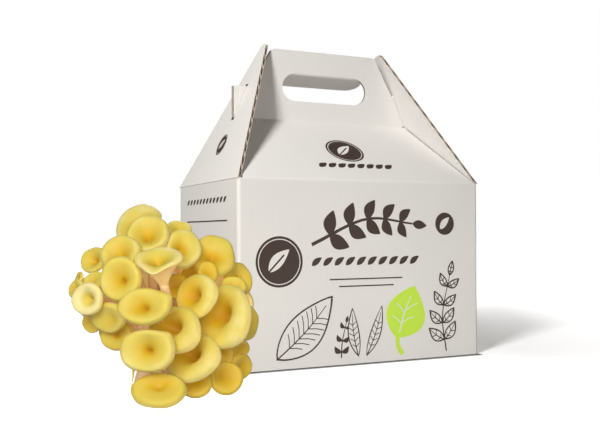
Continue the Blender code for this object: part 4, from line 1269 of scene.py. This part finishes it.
def cap_waves(cap, around, draw):
    """How far a cap's outline swells in each direction, by its lobes and slow waves, and how far
    waves lift its rim there, both in parts of its radius."""
    lobes = np.zeros(len(around))
    for at, width, height in LOBES.get(cap.name, ()):
        off = (np.degrees(around) - at + 180) % 360 - 180
        lobes += height * np.exp(-(off / width) ** 2)
    phases = draw.uniform(0, 2 * np.pi, 6)
    sizes = draw.uniform(0.4, 1.0, 6) * (*OUTLINE_WAVES, *RIM_WAVES)
    waves = [size * np.cos(k * around + phase) for k, size, phase in zip(WAVE_COUNTS * 2, sizes, phases)]
    return lobes + sum(waves[:3]), sum(waves[3:])


def cap_piece(cap, index):
    """A cap as one surface. A row is an oval around the axis, scaled and lowered by the
    profile, from the dimple's hole over the crown, round the margin and along the gills to
    the stem; near the axis it moves towards the dimple. Lobes and slow waves vary the
    outline, a thin rim is lower where it has no rolled lip, and the gilled rows sink between
    each gill and the next. Crowns are pale and dimples golden, partly the cap's own colour and
    partly painted shade; the narrow hole, a lip's hollow and the open side of a lipped cap are
    more golden with painted shade."""
    looks = bpy.context.scene.grow_kit.cluster
    draw = np.random.default_rng(CAP_DRAWS + index)
    radius = cap.radius * MM
    gills = max(LEAST_GILLS, round(2 * math.pi * GILLS_COUNTED_AT * radius / looks.gill_pitch))
    around, oval = cap_oval(cap, 4 * gills)
    profile = np.clip(smooth_line(PROFILE, looks.rows), (0, 0, -1, 0, -1, 0, 0, 0), 1)
    r, even, rolled, hole, crown, tone, under, margin = profile.T[:, :, None]
    swell, rise = cap_waves(cap, around, draw)
    outer = np.clip((r - 0.35) / 0.65, 0, 1) ** 1.5
    flat = oval * (r * (1 + outer * swell))[:, :, None] + np.array(cap.pull) * pull_share(r)[:, :, None]

    lip_at, lip = math.radians(cap.lip[0]), cap.lip[1]
    facing_lip = (0.5 + 0.5 * np.cos(around - lip_at)) ** 0.7
    lipped = lip * facing_lip
    bare = 1 - lipped / max(lip, 0.01)
    sunk = even * (1 - lipped) + rolled * lipped
    h = crown - cap.hole * hole - cap.flare * flare_share(r) * (under > 0)
    thinned = 1 - 0.75 * cap.thin * bare * np.clip((r - 0.4) / 0.6, 0, 1)
    height = h * thinned + outer * rise - cap.dimple * sunk

    slopes = np.gradient(np.hstack((r, h)), axis=0)
    slopes /= np.maximum(np.linalg.norm(slopes, axis=1), 1e-9)[:, None]
    groove = 0.5 + 0.5 * np.cos(gills * around)
    deep = under * np.clip((r - 0.1) / 0.15, 0, 1) * looks.gill_depth * groove
    outwards = oval / np.linalg.norm(oval, axis=1)[:, None]
    flat = flat + outwards * (deep * slopes[:, 1:])[:, :, None]
    height = height - deep * slopes[:, :1]

    # The golden dimple is partly the cap's own colour and partly painted shade; a lip's hollow, the open side
    # of a lipped cap and the narrow hole get more of it as painted shade
    tone = CROWN_TONE + (tone - CROWN_TONE) * min(1, 0.2 + 1.4 * cap.dimple)
    hollow = CROWN_TONE + LIP_TONE * np.clip(sunk, 0, 1)
    open_side_shade = lip * bare * np.clip((1.5 + 1.5 * cap.thin) * (1 - r), 0, 1)
    tone = tone * (1 - LIP_TONE * lipped) + LIP_TONE * lipped * hollow + 0.30 * open_side_shade + cap.hole * hole
    values = {"tone": tone, "under": under, "margin": margin, "groove": groove,
              "shade": cap.shade + draw.uniform(-0.04, 0.04)}
    values = {key: np.broadcast_to(value, height.shape) for key, value in values.items()}
    points = np.concatenate((flat, height[:, :, None]), 2).reshape(-1, 3) * radius
    quads, corners = closed_grid(*height.shape, flipped=True)
    obj = new_piece("golden_" + cap.name, turned(points @ cap_frame(cap) + cap_place(cap)), quads,
                    [finishes().cap], corners, None, values)
    merge_close(obj)
    belongs(obj, "kit", "caps", cap.name)


def cap_sliver():
    """A sliver of torn cap at the lower left: a tube along a smooth line, thinning to its end."""
    line = smooth_line(SLIVER, 20) * MM
    points, quads, corners = tube(line, np.linspace(SLIVER_R, SLIVER_TIP_R, len(line)) * MM, 14)
    obj = new_piece("torn_cap_sliver", turned(points), quads, [finishes().cap], corners, None,
                    {"tone": np.full(len(points), SLIVER_TONE)})
    merge_close(obj)
    belongs(obj, "kit", "caps")


def stem_line(cap):
    """A stem's middle line, from inside its cap down to the stump: a cubic that leaves the cap
    along its axis and ends upright in the foot."""
    axes = cap_frame(cap)
    ring, height = STEM_RING
    radius = cap.radius * MM
    shift = np.array(cap.pull) * pull_share(ring) * radius
    top = cap_place(cap) + np.array((*shift, (height - cap.flare) * radius)) @ axes
    aim = np.array((top[0], top[1], 0.0))
    reach = np.linalg.norm(aim)
    foot = aim / max(reach, 1e-9) * min(STEM_FOOT_R, reach) + (0, 0, STEM_FOOT_Z)
    lift = np.array((0, 0, max(top[2] - foot[2], 0) * STEM_UPRIGHT))
    bend = min(np.linalg.norm(top - foot) * STEM_BEND, STEM_BEND_MOST)
    t = np.linspace(0, 1, STEM_ROWS)[:, None]
    line = ((1 - t) ** 3 * top + 3 * t * (1 - t) ** 2 * (top - axes[2] * bend)
            + 3 * t * t * (1 - t) * (foot + lift) + t ** 3 * foot)
    line[:, 2] = np.maximum(line[:, 2], STEM_LOWEST)
    line[0] += axes[2] * STEM_IN_CAP
    return line, max(ring * radius, STEM_THINNEST)


def stem_tube(cap, index):
    """A stem: a tube that swells slowly along its line and has fine ridges along it, the upper
    ones the ends of the gills."""
    draw = np.random.default_rng(STEM_DRAWS + index)
    line, top_r = stem_line(cap)
    t = np.linspace(0, 1, STEM_ROWS)[:, None]
    a = circle_angles(STEM_SIDES)
    radii = (top_r * (1 - t) + STEM_BASE_R * t) * (1 + 0.06 * np.sin(5 * t + draw.uniform(0, 6)))
    ridges = (0.045 * np.exp(-(t / 0.25) ** 2) + 0.015) * np.cos(STEM_RIDGES * a + draw.uniform(0, 6))
    slow = 0.07 * np.sin(2 * a + draw.uniform(0, 6)) * t
    return tube(line, radii * (1 + ridges + slow), STEM_SIDES)


def torn_strip(edge):
    """A torn strip of gills. It hangs from a smooth line as deep as a sum of waves and pointed
    spikes makes it, and thins from the line to its ragged edge."""
    line = smooth_line(edge.line, TORN_ROWS) * MM
    t = np.linspace(0, 1, TORN_ROWS)
    depth = edge.depth * (0.8 + 0.12 * np.sin(31 * t) + 0.08 * np.sin(67 * t + 1))
    for at, half, more in edge.spikes:
        depth = depth + more * np.clip(1 - np.abs(t - at) / half, 0, 1) ** 1.2
    depth *= np.minimum(1, 14 * t * (1 - t)) * MM
    fall = np.array(edge.fall) / np.linalg.norm(edge.fall)
    thick = np.array((0, TORN_HALF_THICK, 0)) * MM
    section = ((0.0, -1.0), (0.6, -0.7), (1.0, 0.0), (0.6, 0.7), (0.0, 1.0))
    points = np.stack([line + depth[:, None] * down * fall + thick * over for down, over in section], 1)
    start, end = (np.repeat(line[k][None, None], len(section), 1) for k in (0, -1))
    points = np.concatenate((start, points, end))
    return points.reshape(-1, 3), *closed_grid(len(points), len(section))


def stump():
    """The stump that the stems grow from: a turned block that narrows upwards, whose side swells
    between the stems."""
    a = circle_angles(STUMP_SIDES)
    t = np.linspace(0, 1, STUMP_ROWS)[:, None]
    swell = 0.05 * np.sin(7 * a + 0.8) + 0.035 * np.sin(11 * a + 2 * t) + 0.02 * np.sin(17 * a)
    radii = STUMP_R + (STUMP_TOP_R - STUMP_R) * t ** 1.4 + 0.0012 * np.sin(np.pi * t)
    radii = radii * (1 + swell * (0.25 + 0.75 * t))
    ring = np.stack((np.cos(a) * radii, np.sin(a) * radii, np.broadcast_to(t * STUMP_H, radii.shape)), 2)
    start, end = (np.tile((0.0, 0.0, z), (1, STUMP_SIDES, 1)) for z in (0.0, STUMP_H))
    points = np.concatenate((start, ring, end))
    return points.reshape(-1, 3), *closed_grid(len(points), STUMP_SIDES)


# Bag

def bag_surface():
    """The bag's points, quads and UV corners: a ball whose sines and cosines are raised to a
    small power, so that it fills its box, with creases and a crumpled top."""
    low, high = (np.array(corner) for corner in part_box("substrate_bag"))
    v = np.linspace(-np.pi / 2, np.pi / 2, BAG_ROWS)[:, None]
    u = circle_angles(BAG_SIDES)

    def power(x, p):
        return np.sign(x) * np.abs(x) ** p

    x = power(np.cos(v), BAG_SQUARENESS) * power(np.cos(u), BAG_SQUARENESS)
    y = power(np.cos(v), BAG_SQUARENESS) * power(np.sin(u), BAG_SQUARENESS)
    z = power(np.sin(v), BAG_TOP_SQUARENESS) * np.ones_like(u)
    crease = 0.012 * np.sin(9 * u + 3 * np.sin(4 * v)) + 0.008 * np.sin(23 * u + 6 * v)
    crumple = 0.5 + 0.5 * np.sin(2.2 * v)
    shrink = 0.972 - 0.02 * (1 - z) / 2 + crease * (0.3 + crumple)
    height = np.clip(z * (0.985 + 0.4 * crease), -1, 1)
    points = np.stack((x * shrink, y * shrink, height), 2) * (high - low) / 2 + (low + high) / 2
    return points.reshape(-1, 3), *closed_grid(BAG_ROWS, BAG_SIDES)


# Stage

def floor_finish(looks):
    """The pale floor: it glows, a painted light that is fainter towards the carton, where shadows fall,
    so that the shadow fades further out. A painted contact shadow makes a dark line at the carton's foot."""
    material, tree, shader = new_material("Pale floor", Roughness=0.9, Specular_IOR_Level=0.1,
                                          Emission_Strength=1.0)
    aside = vector(tree, "ABSOLUTE", coordinates(tree, "Object"))
    beyond = vector(tree, "SUBTRACT", aside, (CARTON_W / 2 * MM, CARTON_D / 2 * MM, 1))
    beyond = vector(tree, "MAXIMUM", beyond, BLACK)
    away = vector(tree, "LENGTH", beyond)
    # Painted light: the glow rises with the distance from the carton and fades its shadow
    glow = add_node(tree, "ShaderNodeMapRange", {
        "Value": away, "From Min": GLOW_FROM, "From Max": GLOW_REACH, "To Min": looks.floor_glow,
        "To Max": GLOW_MOST}).outputs[0]
    # Painted contact shadow: the floor's colour and glow fall to a dark line at the carton's foot
    close = vector(tree, "LENGTH", vector(tree, "MULTIPLY", beyond, CONTACT_SQUEEZE))
    contact_shadow = add_node(tree, "ShaderNodeMapRange", {
        "Value": close, "From Min": CONTACT_FROM, "From Max": CONTACT_TO, "To Min": CONTACT_LEFT,
        "To Max": 1.0}, interpolation_type="SMOOTHSTEP").outputs[0]
    give(tree, shader, {"Emission Color": number(tree, "MULTIPLY", glow, contact_shadow),
                        "Base Color": blend_colours(tree, contact_shadow, BLACK, looks.floor_colour)})
    return material


def lay_floor(looks):
    """The floor, a little below the pieces that stand on it. It throws no light on them."""
    corners = [(x * FLOOR_REACH, y * FLOOR_REACH, FLOOR_Z) for x, y in ((-1, -1), (1, -1), (1, 1), (-1, 1))]
    floor = new_piece("floor", corners, [(0, 1, 2, 3)], [floor_finish(looks)])
    floor.visible_diffuse = False
    return floor


def light_surroundings(looks):
    world = bpy.data.worlds.new("studio")
    bpy.context.scene.world = world
    world.use_nodes = True
    tree = world.node_tree
    seen = add_node(tree, "ShaderNodeLightPath").outputs["Is Camera Ray"]
    give(tree, tree.nodes["Background"].inputs, {
        "Color": blend_colours(tree, seen, SURROUNDINGS, WHITE),
        "Strength": number(tree, "MULTIPLY_ADD", seen, 1.0 - looks.surroundings, looks.surroundings)})


def light_set(name, objects):
    """A set that lights keep to: all but the objects, or only them, as its name says."""
    lit = bpy.data.collections.new(name)
    for obj in objects:
        lit.objects.link(obj)
    if name.startswith("Not"):
        for link in lit.collection_objects:
            link.light_linking.link_state = "EXCLUDE"
    return lit


def facing(place, target):
    """The matrix of a light or camera at a place that looks at a target."""
    way = Vector(target) - Vector(place)
    return Matrix.Translation(place) @ way.to_track_quat("-Z", "Y").to_matrix().to_4x4()


def hang_lamps(looks, floor):
    """The studio's lights. The cluster has a key of its own, so the carton's key and the light
    off the floor neither light it nor are kept off the carton by it."""
    scene = bpy.context.scene
    cluster = [o for o in scene.objects if o.name.startswith(("golden_", "grown_", "torn_"))]
    sets = {name: light_set(name, objects) for name, objects in (
        ("Not the cluster", cluster), ("Only the cluster", cluster), ("Not the floor", [floor]))}
    for lamp in LAMPS:
        light = bpy.data.lights.new(lamp.name, "AREA")
        light.shape = "ELLIPSE"
        light.color = lamp.colour
        light.size, light.size_y = lamp.size, lamp.height or lamp.size
        light.energy = getattr(looks, lamp.power)
        obj = bpy.data.objects.new(lamp.name, light)
        obj.matrix_world = facing(lamp.place, lamp.target)
        obj.visible_camera = False
        scene.collection.objects.link(obj)
        if lamp.lights:
            obj.light_linking.receiver_collection = sets[lamp.lights]
        if lamp.lights == "Not the cluster":
            obj.light_linking.blocker_collection = sets[lamp.lights]


def place_camera():
    """The photograph's camera."""
    scene = bpy.context.scene
    lens = bpy.data.cameras.new("camera")
    lens.lens = CAMERA_LENS
    camera = bpy.data.objects.new("camera", lens)
    level = math.cos(CAMERA_PITCH)
    way = Vector((math.sin(CAMERA_YAW) * level, math.cos(CAMERA_YAW) * level, math.sin(CAMERA_PITCH)))
    camera.matrix_world = facing(CAMERA_AT, Vector(CAMERA_AT) + way) @ Matrix.Rotation(CAMERA_ROLL, 4, "Z")
    scene.collection.objects.link(camera)
    scene.camera = camera
    scene.view_settings.view_transform = "Standard"


# Operators

class GROWKIT_OT_carton(bpy.types.Operator):
    """Build the carton's walls and underside"""
    bl_idname = "growkit.carton"
    bl_label = "Carton walls"

    def execute(self, context):
        obj = card_piece("carton_walls", wall_sheets())
        merge_close(obj)
        belongs(obj, "kit", "card", "carton_body")
        return {"FINISHED"}


class GROWKIT_OT_lids(bpy.types.Operator):
    """Build both lids with their roof panels, handles and hooks"""
    bl_idname = "growkit.lids"
    bl_label = "Lids"

    def execute(self, context):
        for name, side in (("lid_front", -1), ("lid_back", 1)):
            belongs(card_piece("folded_" + name, lid_sheets(side)), "kit", "card", name)
        return {"FINISHED"}


class GROWKIT_OT_end_panels(bpy.types.Operator):
    """Build the two hooked end panels"""
    bl_idname = "growkit.end_panels"
    bl_label = "End panels"

    def execute(self, context):
        for name, side, body in (("end_panel_left", -1, "left_end"), ("end_panel_right", 1, "right_end")):
            obj = card_piece("hooked_" + name, end_sheets(side) + [fold_bead(side)])
            belongs(obj, body, "card", name)
        return {"FINISHED"}


class GROWKIT_OT_bag(bpy.types.Operator):
    """Build the substrate bag: a soft block in film with a crumpled top"""
    bl_idname = "growkit.bag"
    bl_label = "Substrate bag"

    def execute(self, context):
        points, quads, corners = bag_surface()
        obj = new_piece("filled_substrate_bag", points, quads, [finishes().bag], corners)
        merge_close(obj, 1e-6)
        belongs(obj, "kit", "bag", "substrate_bag")
        return {"FINISHED"}


class GROWKIT_OT_caps(bpy.types.Operator):
    """Grow every cap of the cluster"""
    bl_idname = "growkit.caps"
    bl_label = "Caps"

    def execute(self, context):
        for index, cap in enumerate(CAPS):
            cap_piece(cap, index)
        cap_sliver()
        return {"FINISHED"}


class GROWKIT_OT_stems(bpy.types.Operator):
    """Grow the stems and the stump they share"""
    bl_idname = "growkit.stems"
    bl_label = "Stems"

    def execute(self, context):
        parts = [stem_tube(cap, index) for index, cap in enumerate(CAPS)]
        parts += [torn_strip(edge) for edge in TORN_EDGES] + [stump()]
        points, quads, corners = joined(parts)
        obj = new_piece("grown_stems", turned(points), quads, [finishes().stem], corners)
        merge_close(obj)
        belongs(obj, "kit", "stems", "stem_cluster")
        return {"FINISHED"}


class GROWKIT_OT_stage(bpy.types.Operator):
    """Set the pale floor, the soft lights and the camera"""
    bl_idname = "growkit.stage"
    bl_label = "Stage"

    def execute(self, context):
        looks = context.scene.grow_kit.stage
        floor = lay_floor(looks)
        light_surroundings(looks)
        hang_lamps(looks, floor)
        place_camera()
        return {"FINISHED"}


OPERATORS = (GROWKIT_OT_carton, GROWKIT_OT_lids, GROWKIT_OT_end_panels, GROWKIT_OT_bag, GROWKIT_OT_caps,
             GROWKIT_OT_stems, GROWKIT_OT_stage)


class GROWKIT_PT_panel(bpy.types.Panel):
    bl_idname = "GROWKIT_PT_panel"
    bl_label = "Grow Kit"
    bl_space_type = "VIEW_3D"
    bl_region_type = "UI"
    bl_category = "Grow Kit"

    def draw(self, context):
        for operator in OPERATORS:
            self.layout.operator(operator.bl_idname)


CLASSES = (CartonLooks, ClusterLooks, StageLooks, KitLooks, *OPERATORS, GROWKIT_PT_panel)


def register():
    for item in CLASSES:
        bpy.utils.register_class(item)
    bpy.types.Scene.grow_kit = PointerProperty(type=KitLooks)


def unregister():
    """Remove what register added."""
    del bpy.types.Scene.grow_kit
    for item in reversed(CLASSES):
        bpy.utils.unregister_class(item)


def main():
    """Build everything."""
    register()
    for operator in OPERATORS:
        getattr(bpy.ops.growkit, operator.bl_idname.split(".")[1])()


if __name__ == "__main__":
    main()
